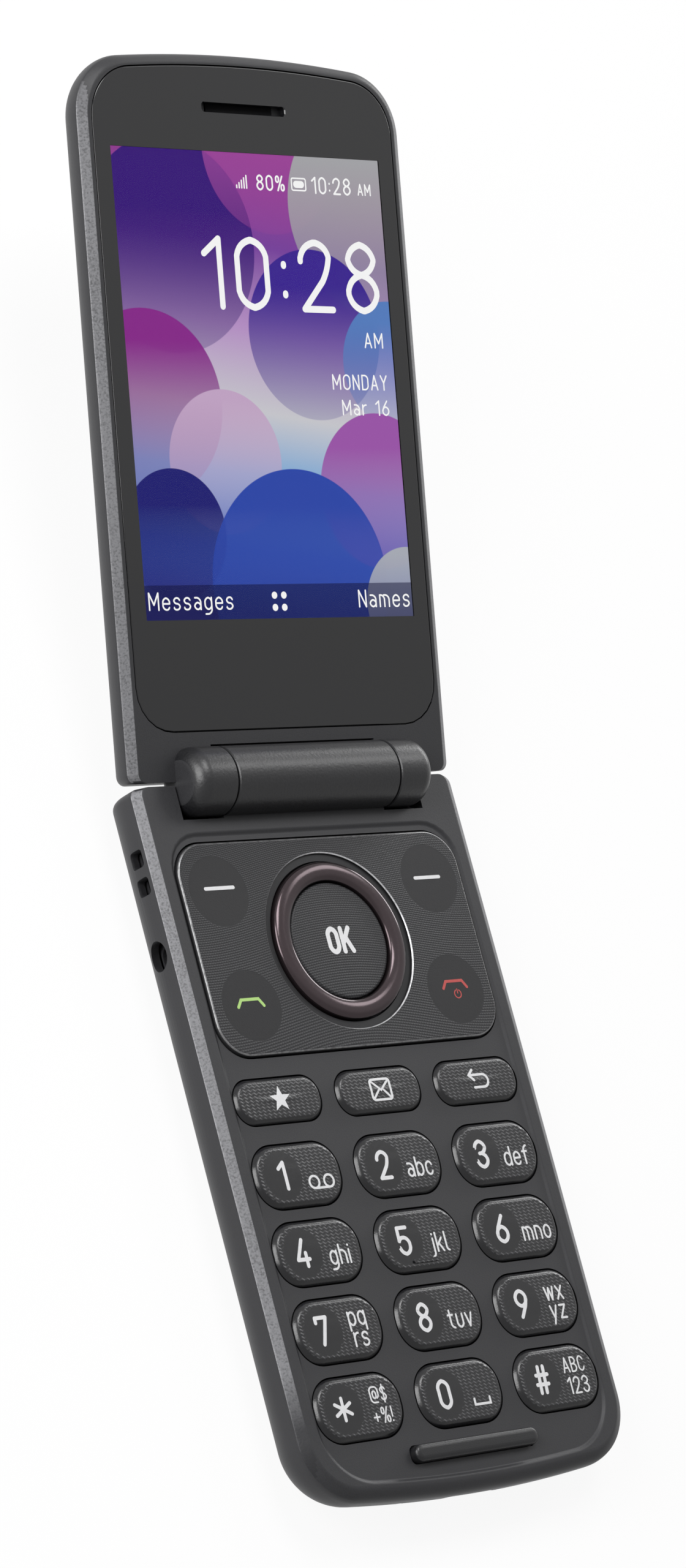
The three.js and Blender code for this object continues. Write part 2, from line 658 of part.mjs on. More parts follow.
/** Room round the headphone socket, from the side wall inwards. */
function jackClearance(gap, z0) {
  const half = jackWidth / 2 + gap;
  return block(-halfWidth, -halfWidth + jackSetback + jackLength + gap, -jackPlace - half, -jackPlace + half,
    z0, overrun);
}

/** The block of a part that hangs under the board; grown, it is the room that the part needs. */
function hung({ width, length, height, x, start }, grow = 0, depth = height + grow) {
  const top = grow > 0 ? overrun : boardBottomZ;
  return pad(x, -start - length / 2, width + grow * 2, length + grow * 2, boardBottomZ - depth, top);
}

/** Back cover over the battery, with a group of sound slots for the loudspeaker. */
function batteryCover() {
  const nearHinge = block(-everywhere, everywhere, -coverStart, overrun, -farEnd, overrun);
  const shell = cut(baseOuter, baseInner, above(seamZ - seamGap), nearHinge);
  const middle = -speaker.start - speaker.length / 2;
  const slots = Array.from({ length: coverSlotCount }, (_, k) => {
    const y = middle + (k - (coverSlotCount - 1) / 2) * coverSlotPitch;
    return prism(slotOutline(speaker.x, y, coverSlotLength, coverSlotWidth, coverSlotWidth / 2),
      -baseDepth - overrun, coverInnerZ + overrun);
  });
  return cut(shell, ...slots);
}

/** A key: a cap with a rounded top edge over a wider flange that holds it under the face. */
function keyCap(key) {
  const outline = (grow) => keyOutline(key, grow);
  return loft([
    { points: outline(keyFlange), z: keyBottomZ },
    { points: outline(keyFlange), z: keyFlangeTopZ },
    { points: outline(0), z: keyFlangeTopZ },
    { points: outline(0), z: keyTopZ - keyEdge },
    { points: outline(-keyEdge), z: keyTopZ },
  ]);
}

/** The raised bar that the closed lid comes to rest on. */
function closingBar() {
  const top = panelZ + barRise;
  return loft([{ points: barOutline(0), z: panelZ - barSeat }, { points: barOutline(0), z: top - barEdge },
    { points: barOutline(-barEdge / 2), z: top }]);
}

/** The navigation plate, with a sunk ring round the hole that the rocking ring stands in. */
function navPlate() {
  const body = loft([{ points: plateOutline(0), z: plateBottomZ },
    { points: plateOutline(0), z: plateTopZ - plateEdge },
    { points: plateOutline(-plateEdge), z: plateTopZ }]);
  return cut(body, disc(ringOuterRadius + ringGap, -overrun, overrun, 0, -ringPlace, ringSides),
    disc(wellRadius, plateTopZ - wellDepth, overrun, 0, -ringPlace, ringSides));
}

/** A thin frame under the plate, which lets it rock two ways. */
function navPlateCarrier() {
  const top = plateBottomZ - carrierGap;
  return cut(prism(plateOutline(-carrierInset), top - carrierThickness, top),
    disc(carrierHoleRadius, -overrun, overrun, 0, -ringPlace));
}

/** The metal ring round the OK key, with a rounded top. */
function navRing() {
  const middle = (ringOuterRadius + ringInnerRadius) / 2;
  const half = (ringOuterRadius - ringInnerRadius) / 2;
  const shoulder = ringTopZ - ringCrown;
  const crown = Array.from({ length: backSteps + 1 }, (_, k) => {
    const angle = Math.PI * k / backSteps;
    return [middle + half * Math.cos(angle), shoulder + ringCrown * Math.sin(angle)];
  });
  return turned([[ringInnerRadius, ringBottomZ], [ringOuterRadius, ringBottomZ], ...crown], 0, -ringPlace,
    ringSides);
}

/** A flat washer under the ring, which lets it rock two ways. */
function navRingSeat() {
  const top = ringBottomZ - seatGap;
  return turned([[seatInnerRadius, top - seatThickness], [seatOuterRadius, top - seatThickness],
    [seatOuterRadius, top], [seatInnerRadius, top]], 0, -ringPlace);
}

/** The round key inside the ring, on a short post. */
function okKey() {
  const top = panelZ + okRise;
  const bottom = top - okThickness;
  return turned([[0, keyBottomZ], [okPostRadius, keyBottomZ], [okPostRadius, bottom], [okRadius, bottom],
    [okRadius, top - keyEdge / 2], [okRadius - keyEdge / 2, top], [0, top]], 0, -ringPlace, ringSides);
}

/** The outline of a layer under the keys, with a notch for the headphone socket. */
function layer(points, z0, z1) {
  return cut(prism(points, z0, z1), jackClearance(jackGap, -baseDepth));
}

const matOutline = (inset) => roundedRectangle(-matHalfWidth + inset, matHalfWidth - inset, -matEnd + inset,
  -matStart - inset, boardCornerRadius);
const boardOutline = roundedRectangle(-boardHalfWidth, boardHalfWidth, -boardEnd, -boardStart,
  boardCornerRadius);

/** Where each key, press spot and side of the ring makes contact. */
function domePlaces() {
  const places = allKeys.map((key) => [key.x, key.place]);
  for (const side of [-1, 1]) {
    places.push([side * callSpotX, callSpotPlace], [side * softSpotX, softSpotPlace]);
    places.push([side * ringDomeRadius, ringPlace], [0, ringPlace + side * ringDomeRadius]);
  }
  places.push([0, ringPlace]);
  return places;
}

/** The film of switch domes on the board. */
function domeSheet() {
  const sheet = layer(matOutline(wall), boardTopZ, sheetTopZ);
  const domes = domePlaces().map(([x, place]) => disc(domeRadius, sheetTopZ - domeSheetThickness / 2,
    domeTopZ, x, -place, smallSides));
  return join(sheet, ...domes);
}

/** A tin lid over the radio parts, open towards the board. */
function shieldCan() {
  const { sheetThickness: sheet, width, length, height, start } = shield;
  const room = pad(shield.x, -start - length / 2, width - sheet * 2, length - sheet * 2,
    boardBottomZ - height + sheet, overrun);
  return cut(hung(shield), room);
}

/** The loudspeaker box, with its round mouth towards the slots in the cover. */
function loudspeaker() {
  const { x, start, length, height, ventRadius, ventRise } = speaker;
  const low = boardBottomZ - height;
  return join(hung(speaker), disc(ventRadius, low - ventRise, low, x, -start - length / 2));
}

function vibrationMotor() {
  const { x, width, height, length, start } = motor;
  return rod(height / 2, x - width / 2, x + width / 2, -start - length / 2, boardBottomZ - height / 2,
    roundSides / 2);
}

function headphoneJack() {
  const x0 = -halfWidth + jackSetback;
  const z0 = -jackHeightBelowFace - jackThickness / 2;
  const box = pad(x0 + jackLength / 2, -jackPlace, jackLength, jackWidth, z0, z0 + jackThickness);
  return cut(box, rod(jackBoreRadius, x0 - overrun, x0 + jackBoreLength, -jackPlace, -jackHeightBelowFace));
}

/** The charging socket: a shell round a flat tongue, its back against the end of the board. */
function usbSocket() {
  const y0 = -baseEnd + usbSetback;
  const y1 = -boardEnd;
  const top = -usbBelowFace + usbHeight / 2;
  const outer = block(-usbWidth / 2, usbWidth / 2, y0, y1, top - usbHeight, top);
  const mouth = block(-usbWidth / 2 + usbShell, usbWidth / 2 - usbShell, y0 - overrun, y1 - usbShell * 2,
    top - usbHeight + usbShell, top - usbShell);
  const tongue = block(-usbWidth / 3, usbWidth / 3, y0 + usbShell, y1 - usbShell, -usbBelowFace,
    -usbBelowFace + usbShell);
  return join(cut(outer, mouth), tongue);
}

function batteryPack() {
  const { halfWidth: half, start, thickness, cornerRadius } = battery;
  return prism(slotOutline(0, -start - batteryLength / 2, half * 2, batteryLength, cornerRadius),
    batteryBottomZ, batteryBottomZ + thickness);
}

/** The sprung cam unit in the barrel, with the bore for the shaft that turns with the lid. */
function hingeCartridge() {
  const shaftEnd = -barrelHalfLength + camShaftEntry + boreEndGap;
  return cut(hingeRod(cartridgeRadius, -barrelHalfLength, -barrelHalfLength + cartridgeLength),
    hingeRod(camShaftRadius + runningGap, -barrelHalfLength - overrun, shaftEnd, roundSides / 2));
}

/** The cam shaft turns with the lid: one end is held in the left knuckle. */
function hingeCamShaft() {
  const outer = -barrelHalfLength - knuckleGap - camShaftReach;
  return hingeRod(camShaftRadius, outer, -barrelHalfLength + camShaftEntry, roundSides / 2);
}

function hingePin() {
  const outer = barrelHalfLength + knuckleGap + pinReach;
  return hingeRod(pinRadius, barrelHalfLength - pinEntry, outer, roundSides / 2);
}

/** A screw put in from the back. */
function screw(x, y, headTop, tip) {
  return join(disc(screwHeadRadius, headTop - screwHeadHeight, headTop, x, y, roundSides / 2),
    disc(screwRadius, headTop - leastRadius, tip, x, y, smallSides));
}

/** The hole for the earpiece's mouth, or its mouth, at the ear slot. */
function spout(grow, z0, z1) {
  return pad(0, earPlace, earpiece.spoutWidth + grow * 2, earpiece.spoutLength + grow * 2, z0, z1);
}

/** Display-side housing with both hinge knuckles, open at the outside of the closed lid. */
function lidFrontHousing() {
  const bosses = lidScrewSides.map((x) => disc(screwBossRadius, lidSeamZ + lidGap, 0, x, lidScrewPlace));
  const cavity = cut(lidInner, above(ledgeBottomZ), saddle(0), ...bosses);
  const openings = [prism(windowOutline(windowGap), pocketFloorZ, overrun),
    prism(screenOutline(screenOpeningGap), -lidDepth, overrun), spout(earMeshGap, -lidDepth, overrun)];
  const seam = barrelHalfLength + knuckleGap;
  const barrelRoom = hingeRod(barrelRadius + barrelGap, -seam, seam);
  const sockets = [
    hingeRod(camShaftRadius + runningGap, -seam - camShaftReach - boreEndGap, -barrelHalfLength,
      roundSides / 2),
    hingeRod(pinRadius + runningGap, barrelHalfLength, seam + pinReach + boreEndGap)];
  const pilots = lidScrewSides.map((x) => disc(screwRadius + screwHoleGap, -lidDepth,
    screwTipZ + screwHoleGap, x, lidScrewPlace, smallSides));
  const shell = cut(lidOuter, ...openings, below(lidSeamZ), cut(cavity, below(lidSeamZ)));
  return cut(join(shell, knuckle(-1), knuckle(1)), barrelRoom, ...sockets, ...pilots);
}

/** Outer shell of the lid, with the small window's seat, the camera hole and its display's opening. */
function lidRearHousing() {
  const shell = cut(lidOuter, lidInner, above(lidSeamZ - seamGap));
  const back = -lidDepth;
  const outside = back - overrun;
  const floor = back + outerWindow.thickness + outerWindow.seat;
  const shelf = prism(outerWindowOutline(outerWindow.gap + wall), back + leastRadius, floor + ledgeThickness);
  const pocket = prism(outerWindowOutline(outerWindow.gap), outside, floor);
  const view = outerDisplayBlock(outerDisplay.opening, outside, overrun);
  const bosses = lidScrewSides.map((x) => disc(screwBossRadius, back + wall / 2, lidSeamZ - seamGap, x,
    lidScrewPlace).intersect(lidOuter));
  const heads = lidScrewSides.map((x) => disc(screwHeadRadius + screwHoleGap, outside,
    lidScrewHeadTopZ + partGap, x, lidScrewPlace, roundSides / 2));
  const shanks = lidScrewSides.map((x) => disc(screwRadius + screwHoleGap, outside, overrun, x,
    lidScrewPlace, smallSides));
  const cameraHole = disc(camera.rimRadius - camera.rimLip + camera.gap, outside, overrun, 0, cameraPlace);
  return cut(join(shell, shelf, ...bosses), pocket, view, cameraHole, ...heads, ...shanks);
}

/** The clear front pane over the display, with the slot for the ear. */
function displayWindow() {
  const slot = slotOutline(0, earPlace, earSlotWidth, earSlotHeight, earSlotHeight / 2 - leastRadius);
  return cut(prism(windowOutline(0), -windowThickness, 0), prism(slot, -overrun, overrun));
}

/** The display panel: the lit area stands up into the housing's opening from a wider back. */
function mainDisplay() {
  const half = screenWidth / 2;
  const end = screenStart + screenHeight;
  const glass = block(-half, half, screenStart, end, displayBackZ + displayThickness / 2,
    -windowThickness - displayTopGap);
  const back = block(-half - displayBorder, half + displayBorder, screenStart - displayTail,
    end + displayBorder, displayBackZ, displayBackZ + displayThickness);
  return join(glass, back);
}

const earMeshTopZ = -windowThickness - earMeshGap;

function earpieceMesh() {
  return spout(0, earMeshTopZ - earMeshThickness, earMeshTopZ);
}

function earpieceCapsule() {
  const top = ledgeBottomZ - lidGap;
  return join(pad(0, earPlace, earpiece.width, earpiece.length, top - earpiece.height, top),
    spout(0, top - leastRadius, earMeshTopZ - earMeshThickness - earMeshGap));
}

function lidBoardPlate() {
  const { halfWidth: half, length, thickness, cornerRadius } = lidBoard;
  return prism(roundedRectangle(-half, half, lidBoardEnd - length, lidBoardEnd, cornerRadius),
    lidBoardTopZ - thickness, lidBoardTopZ);
}

function closingMagnet() {
  const { width, length, height, sideBorder, endBorder } = magnet;
  const top = ledgeBottomZ - lidGap;
  return pad(windowHalfWidth - sideBorder, windowEnd - endBorder, width, length, top - height, top);
}

function outerWindowPane() {
  return prism(outerWindowOutline(0), -lidDepth, -lidDepth + outerWindow.thickness);
}

/** The block of the small display, inside the border of its window, grown for its opening. */
function outerDisplayBlock(grow, z0, z1) {
  const inset = outerDisplay.border - grow;
  const half = outerWindow.halfWidth - inset;
  return block(-half, half, outerWindowStart + inset, outerWindowEnd - inset, z0, z1);
}

function outerDisplayModule() {
  const z0 = -lidDepth + outerWindow.thickness + outerWindow.seat;
  return outerDisplayBlock(0, z0, z0 + outerDisplay.thickness);
}

/** The camera's trim ring, with a lip that goes through the housing. */
function cameraRim() {
  const back = -lidDepth;
  const { rimRadius, rimProud, rimBore, rimLip } = camera;
  const lipRadius = rimRadius - rimLip;
  return turned([[rimBore, back - rimProud], [rimRadius, back - rimProud], [rimRadius, back - camera.gap],
    [lipRadius, back - camera.gap], [lipRadius, back + wall], [rimBore, back + wall]], 0, cameraPlace);
}

const lensBackZ = -lidDepth - camera.rimProud + camera.lensDepth;
const lensFrontZ = lensBackZ + camera.lensThickness;

function cameraLens() {
  return disc(camera.rimBore - camera.gap, lensBackZ, lensFrontZ, 0, cameraPlace);
}

function cameraModule() {
  const z0 = -lidDepth + wall + camera.gap;
  const box = pad(0, cameraPlace, camera.moduleWidth, camera.moduleWidth, z0, z0 + camera.moduleHeight);
  return join(box, disc(camera.rimBore - camera.gap, lensFrontZ + camera.gap, z0 + leastRadius, 0,
    cameraPlace));
}

const materials = {
  housing: { color: 0x3b3b3f, roughness: 0.62, metalness: 0 },
  frame: { color: 0x2b2c30, roughness: 0.7, metalness: 0 },
  key: { color: 0x343438, roughness: 0.55, metalness: 0 },
  ring: { color: 0x4a3f45, roughness: 0.3, metalness: 0.8 },
  rubber: { color: 0x4d4f55, roughness: 0.9, metalness: 0 },
  dome: { color: 0xb9bcc0, roughness: 0.4, metalness: 0.6 },
  board: { color: 0x1d4a35, roughness: 0.5, metalness: 0 },
  steel: { color: 0xb4b6ba, roughness: 0.35, metalness: 0.9 },
  socket: { color: 0x1a1b1d, roughness: 0.6, metalness: 0 },
  battery: { color: 0x26272b, roughness: 0.6, metalness: 0 },
  window: { color: 0x17171a, roughness: 0.08, metalness: 0 },
  screen: { color: 0x4b49a8, roughness: 0.2, metalness: 0 },
  magnet: { color: 0x8b8d91, roughness: 0.3, metalness: 0.9 },
};

/** A named mesh with its own material. */
function piece(name, body, finish) {
  const mesh = new THREE.Mesh(geometryOf(body), new THREE.MeshStandardMaterial(materials[finish]));
  mesh.name = name;
  return mesh;
}

/** The keypad half: its group's origin is the hinge line on the face plane. */
function keypadHalf() {
  const group = new THREE.Group();
  group.position.set(0, hingeY, baseDepth);
  group.add(
    piece('base_front_housing', baseFrontHousing(), 'housing'),
    piece('base_rear_housing', baseRearHousing(), 'frame'),
    piece('battery_cover', batteryCover(), 'housing'),
    piece('battery', batteryPack(), 'battery'),
    piece('main_board', layer(boardOutline, boardBottomZ, boardTopZ), 'board'),
    piece('key_dome_sheet', domeSheet(), 'dome'),
    piece('key_mat', layer(matOutline(0), domeTopZ, matTopZ), 'rubber'),
    piece('shield_can', shieldCan(), 'steel'),
    piece('sim_reader', hung(simReader), 'steel'),
    piece('battery_contacts', hung(contacts), 'socket'),
    piece('headphone_jack', headphoneJack(), 'socket'),
    piece('usb_socket', usbSocket(), 'steel'),
    piece('microphone', hung(microphone), 'steel'),
    piece('loudspeaker', loudspeaker(), 'socket'),
    piece('vibration_motor', vibrationMotor(), 'steel'),
    piece('closing_bar', closingBar(), 'housing'),
    piece('hinge_cartridge', hingeCartridge(), 'steel'),
    piece('nav_plate_carrier', navPlateCarrier(), 'frame'),
    piece('nav_plate', navPlate(), 'key'),
    piece('nav_ring_seat', navRingSeat(), 'frame'),
    piece('nav_ring', navRing(), 'ring'),
    piece('ok_key', okKey(), 'key'),
    ...allKeys.map((key) => piece(key.name, keyCap(key), 'key')),
    ...baseScrewPlaces.map(([x, place], k) => piece(`base_screw_${k + 1}`,
      screw(x, -place, screwHeadTopZ, screwTipZ), 'steel')),
  );
  return group;
}

/** The lid, turned up from the plane of the keypad half about the hinge line. */
function lid() {
  const swing = new THREE.Group();
  swing.position.set(0, hingeY, baseDepth + hingeRise);
  swing.rotation.x = THREE.MathUtils.degToRad(openTiltDegrees);
  const group = new THREE.Group();
  group.position.z = -hingeRise;
  group.add(
    piece('lid_front_housing', lidFrontHousing(), 'housing'),
    piece('lid_rear_housing', lidRearHousing(), 'housing'),
    piece('display_window', displayWindow(), 'window'),
    piece('main_display', mainDisplay(), 'screen'),
    piece('earpiece_mesh', earpieceMesh(), 'steel'),
    piece('earpiece', earpieceCapsule(), 'socket'),
    piece('lid_board', lidBoardPlate(), 'board'),
    piece('closing_magnet', closingMagnet(), 'magnet'),
    piece('hinge_cam_shaft', hingeCamShaft(), 'steel'),
    piece('hinge_pin', hingePin(), 'steel'),
    piece('outer_window', outerWindowPane(), 'window'),
    piece('outer_display', outerDisplayModule(), 'screen'),
    piece('camera_rim', cameraRim(), 'steel'),
    piece('camera_lens', cameraLens(), 'window'),
    piece('camera_module', cameraModule(), 'socket'),
    ...lidScrewSides.map((x, k) => piece(`lid_screw_${k + 1}`,
      screw(x, lidScrewPlace, lidScrewHeadTopZ, screwTipZ), 'steel')),
  );
  swing.add(group);
  return swing;
}

const phone = new THREE.Group();
phone.add(keypadHalf(), lid());

export default phone;
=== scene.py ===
"""The looks of a folding mobile telephone that lies open on its back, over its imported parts."""
from functools import partial
from math import acos, atan2, cos, pi, radians, sin, sqrt

import bmesh
import bpy
from mathutils import Matrix, Vector


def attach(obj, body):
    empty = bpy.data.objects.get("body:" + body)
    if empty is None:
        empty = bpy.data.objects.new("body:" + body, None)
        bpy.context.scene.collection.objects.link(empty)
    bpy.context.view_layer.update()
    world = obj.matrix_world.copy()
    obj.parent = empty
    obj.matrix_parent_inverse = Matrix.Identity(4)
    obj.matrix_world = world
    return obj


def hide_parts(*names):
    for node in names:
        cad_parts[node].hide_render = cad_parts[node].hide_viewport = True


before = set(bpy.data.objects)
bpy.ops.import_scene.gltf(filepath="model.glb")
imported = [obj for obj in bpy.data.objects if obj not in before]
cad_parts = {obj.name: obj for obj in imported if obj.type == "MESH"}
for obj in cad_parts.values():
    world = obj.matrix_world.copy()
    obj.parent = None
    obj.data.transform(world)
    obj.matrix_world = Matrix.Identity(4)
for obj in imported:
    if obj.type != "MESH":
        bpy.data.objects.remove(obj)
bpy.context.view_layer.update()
scene = bpy.context.scene
scene.view_settings.view_transform = "Standard"

# ---------------------------------------------------------------------------
# The camera: a long lens above the left edge of the keypad, turned so that
# the open phone stands up in the tall picture.
# ---------------------------------------------------------------------------
camera_right = Vector((0.751296, -0.252287, 0.609841))
camera_down = Vector((-0.034593, -0.937833, -0.345359))
camera_view = Vector((0.659058, 0.238370, -0.713318))
camera = bpy.data.objects.new("camera", bpy.data.cameras.new("camera"))
camera.data.lens = 120.903
camera.data.clip_start = 0.05
camera.data.clip_end = 20.0
turn = Matrix((camera_right, -camera_down, -camera_view)).transposed()
camera.matrix_world = Matrix.Translation((-0.4754727, -0.1252930, 0.5332774)) @ turn.to_4x4()
scene.collection.objects.link(camera)
scene.camera = camera

# ---------------------------------------------------------------------------
# The studio: a white sheet on the table, bright to the camera and in gloss,
# a long soft lamp on the left, a wide one overhead and a weak one on the right.
# ---------------------------------------------------------------------------
FLOOR_SIZE = 12.0
FLOOR_GAP = 0.00005
SHEET_WHITE = 0.86
SHEET_GLOW = 0.92
ROOM_LIGHT = 0.13
GLOSS_NEAR, GLOSS_FAR = 0.75, 1.1


def feed(tree, socket, value):
    """Sets a socket to a value, or links it to another node's output."""
    if isinstance(value, bpy.types.NodeSocket):
        tree.links.new(value, socket)
    else:
        socket.default_value = value


def node(tree, kind, *values, operation=None, **named):
    """The outputs of a new node, fed in order or by names with underscores for spaces."""
    made = tree.nodes.new("ShaderNode" + kind)
    if operation:
        made.operation = operation
    for socket, value in zip(made.inputs, values):
        feed(tree, socket, value)
    for name, value in named.items():
        feed(tree, made.inputs[name.replace("_", " ")], value)
    return made.outputs


def maths(tree, operation, *values):
    return node(tree, "Math", *values, operation=operation)[0]


def new_material(name, **sockets):
    """A material, its tree and its shader, whose sockets are set by name."""
    material = bpy.data.materials.new(name)
    material.use_nodes = True
    shader = material.node_tree.nodes["Principled BSDF"]
    for socket, value in sockets.items():
        shader.inputs[socket.replace("_", " ")].default_value = value
    return material, material.node_tree, shader


def show(tree, surface):
    tree.links.new(surface, tree.nodes["Material Output"].inputs["Surface"])


def seen_directly(tree):
    """One where a ray comes from the camera or from gloss or glass, else nought."""
    path = node(tree, "LightPath")
    most = maths(tree, "MAXIMUM", path["Is Camera Ray"], path["Is Glossy Ray"])
    return maths(tree, "MAXIMUM", most, path["Is Transmission Ray"])


sheet, sheet_tree, matt = new_material("studio_sheet", Base_Color=(SHEET_WHITE, SHEET_WHITE, SHEET_WHITE, 1),
    Roughness=0.9, Specular_IOR_Level=0.0)
glow_share = maths(sheet_tree, "MULTIPLY", seen_directly(sheet_tree), SHEET_GLOW)
glow = node(sheet_tree, "Emission")[0]
show(sheet_tree, node(sheet_tree, "MixShader", glow_share, matt.outputs[0], glow)[0])
half_floor = FLOOR_SIZE / 2
floor_mesh = bpy.data.meshes.new("floor")
floor_mesh.from_pydata([(x * half_floor, y * half_floor, -FLOOR_GAP) for x, y in
    ((-1, -1), (1, -1), (1, 1), (-1, 1))], [], [(0, 1, 2, 3)])
floor_mesh.materials.append(sheet)
floor = bpy.data.objects.new("floor", floor_mesh)
scene.collection.objects.link(floor)

room = bpy.data.worlds.new("room")
room.use_nodes = True
scene.world = room
air = room.node_tree
background = air.nodes["Background"]
far_side = node(air, "MapRange", node(air, "SeparateXYZ", node(air, "TexCoord")["Generated"])["Y"],
    From_Min=-0.2, From_Max=0.02, To_Min=GLOSS_NEAR, To_Max=GLOSS_FAR)[0]
to_camera = maths(air, "MAXIMUM", far_side, node(air, "LightPath")["Is Camera Ray"])
air_light = node(air, "MapRange", seen_directly(air), To_Min=ROOM_LIGHT, To_Max=to_camera)[0]
feed(air, background.inputs["Strength"], air_light)
background.inputs["Color"].default_value = (1, 1, 1, 1)


def lamp(name, place, aim, width, length, power):
    light = bpy.data.lights.new(name, "AREA")
    light.shape = "RECTANGLE"
    light.size, light.size_y, light.energy = width, length, power
    holder = bpy.data.objects.new(name, light)
    line = Vector(aim) - Vector(place)
    holder.matrix_world = Matrix.Translation(place) @ line.to_track_quat("-Z", "Y").to_matrix().to_4x4()
    scene.collection.objects.link(holder)


lamp("left_lamp", (-0.72, 0.25, 0.34), (0, 0.03, 0.01), 0.5, 0.6, 8.0)
lamp("top_lamp", (-0.1, 0.55, 0.85), (0, 0.03, 0), 0.4, 0.4, 5.5)
lamp("right_lamp", (0.62, 0.42, 0.62), (0, 0.03, 0), 0.2, 0.3, 1.2)
lamp("low_lamp", (0.92, 0.56, 0.16), (0, 0.0, 0), 0.6, 0.14, 3.0)

# ---------------------------------------------------------------------------
# The keypad-side housing: one moulding of charcoal plastic with a fine grain
# and a silver edge band, partly silver paint and partly painted highlight. The
# middle barrel of the hinge is part of it; the keys, the plate, the sockets and
# the strap come through openings in its walls.
# ---------------------------------------------------------------------------
MM = 0.001
body_half = 29.2
face_band = 1.4
face_bow = 225
end_round = 2.0
back_radius = 7.0
skin = 1.2
hinge_gap = 0.15
keypad_end, keypad_depth, seam_z = 101.2, 9.7, -7.7
barrel_radius, barrel_half, barrel_room = 4.8, 14.6, 0.35
edge_run, edge_drop = 0.14, 0.16
knuckle_start, knuckle_end = 14.9, 21.5
hinge_z = 0.7
panel = (26.1, 7.0, 99.0, 5.6, 8.6)
plate_box = (-25.45, 25.45, -38.95, -8.5, 5.1)
bar_box = (-11.1, 11.1, -96.45, -94.05)
key_size, key_corner = (15.11, 8.8), 4.0
row_key_size, row_key_corner = (15.11, 6.3), 2.9
columns = (-18.03, 0.0, 18.03)
function_row, first_row, row_pitch = 45.2, 55.72, 10.73
key_gap, plate_gap, plate_pocket = 0.2, 0.25, -1.4
bar_gap, bar_hole_corner, bar_pocket = 0.1, 0.8, -0.75
jack_hole = (-23.0, -3.9, 1.97)
strap_holes, strap_half, strap_z = (9.5, 13.4), 1.1, (-4.25, -1.75)
charging_hole = (-4.8, 4.8, -5.6, -2.6, 1.0)
microphone_hole = (-12.0, -4.1, 0.6)
cam_bore, shaft_bore, pin_bore = 2.6, 1.58, 1.38
screw_head, screw_hole, screw_well = 1.38, 0.78, 1.75
keypad_place = Matrix.Translation((0, 0.050675, 0.0097))
lid_place = (Matrix.Translation((0, 0.050675, 0.0104)) @ Matrix.Rotation(radians(15.66), 4, "X")
    @ Matrix.Translation((0, 0, -0.0007)))
past_keypad = (-40, 40, -110, 10)
past_lid = (-40, 40, -10, 120)


def arc(cx, cy, radius, start, end, steps):
    return [(cx + radius * cos(start + (end - start) * k / steps),
        cy + radius * sin(start + (end - start) * k / steps)) for k in range(steps + 1)]


def circle(x, y, radius, steps=64):
    return arc(x, y, radius, 0, 2 * pi, steps)[:-1]


def rounded(x0, x1, y0, y1, radius, steps=12):
    """A rectangle with rounded corners."""
    left, right, low, high = x0 + radius, x1 - radius, y0 + radius, y1 - radius
    return [point for k, (x, y) in enumerate(((right, low), (right, high), (left, high), (left, low)))
        for point in arc(x, y, radius, (k - 1) * pi / 2, k * pi / 2, steps)]


def grown(x0, x1, y0, y1, corner, grow):
    """A rounded rectangle that is wider by a length on every side."""
    return rounded(x0 - grow, x1 + grow, y0 - grow, y1 + grow, corner + grow)


def bowed(side, start, end, near, far, bow):
    """The outline of one half, whose free end is a shallow bow between round corners."""
    middle = end - bow
    far, near = max(far, 0.2), max(near, 0.2)
    corner_x = side - far
    corner_y = middle + sqrt((bow - far) ** 2 - corner_x ** 2)
    swing = atan2(corner_y - middle, corner_x)
    return (arc(side - near, start + near, near, -pi / 2, 0, 6) + arc(corner_x, corner_y, far, 0, swing, 20)
        + arc(0, middle, bow, swing, pi - swing, 20)[1:-1] + arc(-corner_x, corner_y, far, pi - swing, pi, 20)
        + arc(-side + near, start + near, near, pi, pi * 1.5, 6))


def grown_face(half, start, end, near, far, grow):
    return bowed(half + grow, start - grow, end + grow, near + grow, far + grow, face_bow)


def turned_round(outline):
    """The same outline for the keypad half, whose free end points the other way."""
    return [(-x, -y) for x, y in outline]


def level(outline, z):
    return [(x, y, z) for x, y in outline]


def solid_from(name, corners, faces, mend=None):
    """An object from points in millimetres and faces, which are turned to look outwards."""
    mesh = bpy.data.meshes.new(name)
    mesh.from_pydata([(x * MM, y * MM, z * MM) for x, y, z in corners], [], faces)
    tidy = bmesh.new()
    tidy.from_mesh(mesh)
    if mend:
        mend(tidy)
    bmesh.ops.recalc_face_normals(tidy, faces=tidy.faces)
    tidy.to_mesh(mesh)
    tidy.free()
    solid = bpy.data.objects.new(name, mesh)
    scene.collection.objects.link(solid)
    return solid


def skin_over(name, rings):
    """A closed mesh over a stack of rings with equal numbers of points, in millimetres."""
    count = len(rings[0])
    corners = [point for ring in rings for point in ring]
    faces = [tuple(range(count)), tuple(range(len(corners) - count, len(corners)))]
    for low in range(0, len(corners) - count, count):
        for k in range(count):
            faces.append((low + k, low + (k + 1) % count, low + count + (k + 1) % count, low + count + k))
    return solid_from(name, corners, faces)


def stack(name, outline, levels):
    """A solid over outlines that grow by a length at each height."""
    return skin_over(name, [level(outline(grow), z) for grow, z in levels])


def prism(outline, z0, z1):
    return skin_over("tool", [level(outline, z0), level(outline, z1)])


def block(x0, x1, y0, y1, z0, z1):
    return prism([(x0, y0), (x1, y0), (x1, y1), (x0, y1)], z0, z1)


def disc(radius, z0, z1, x, y, steps=64):
    return prism(circle(x, y, radius, steps), z0, z1)


def along_x(rings):
    """A turned piece on the hinge line, from pairs of x and radius."""
    return skin_over("tool", [[(x, y, z) for y, z in circle(0, hinge_z, radius, 96)] for x, radius in rings])


def side_prism(profile, x0, x1):
    """A prism along x of a profile in y and z."""
    return skin_over("tool", [[(x, y, z) for y, z in profile] for x in (x0, x1)])


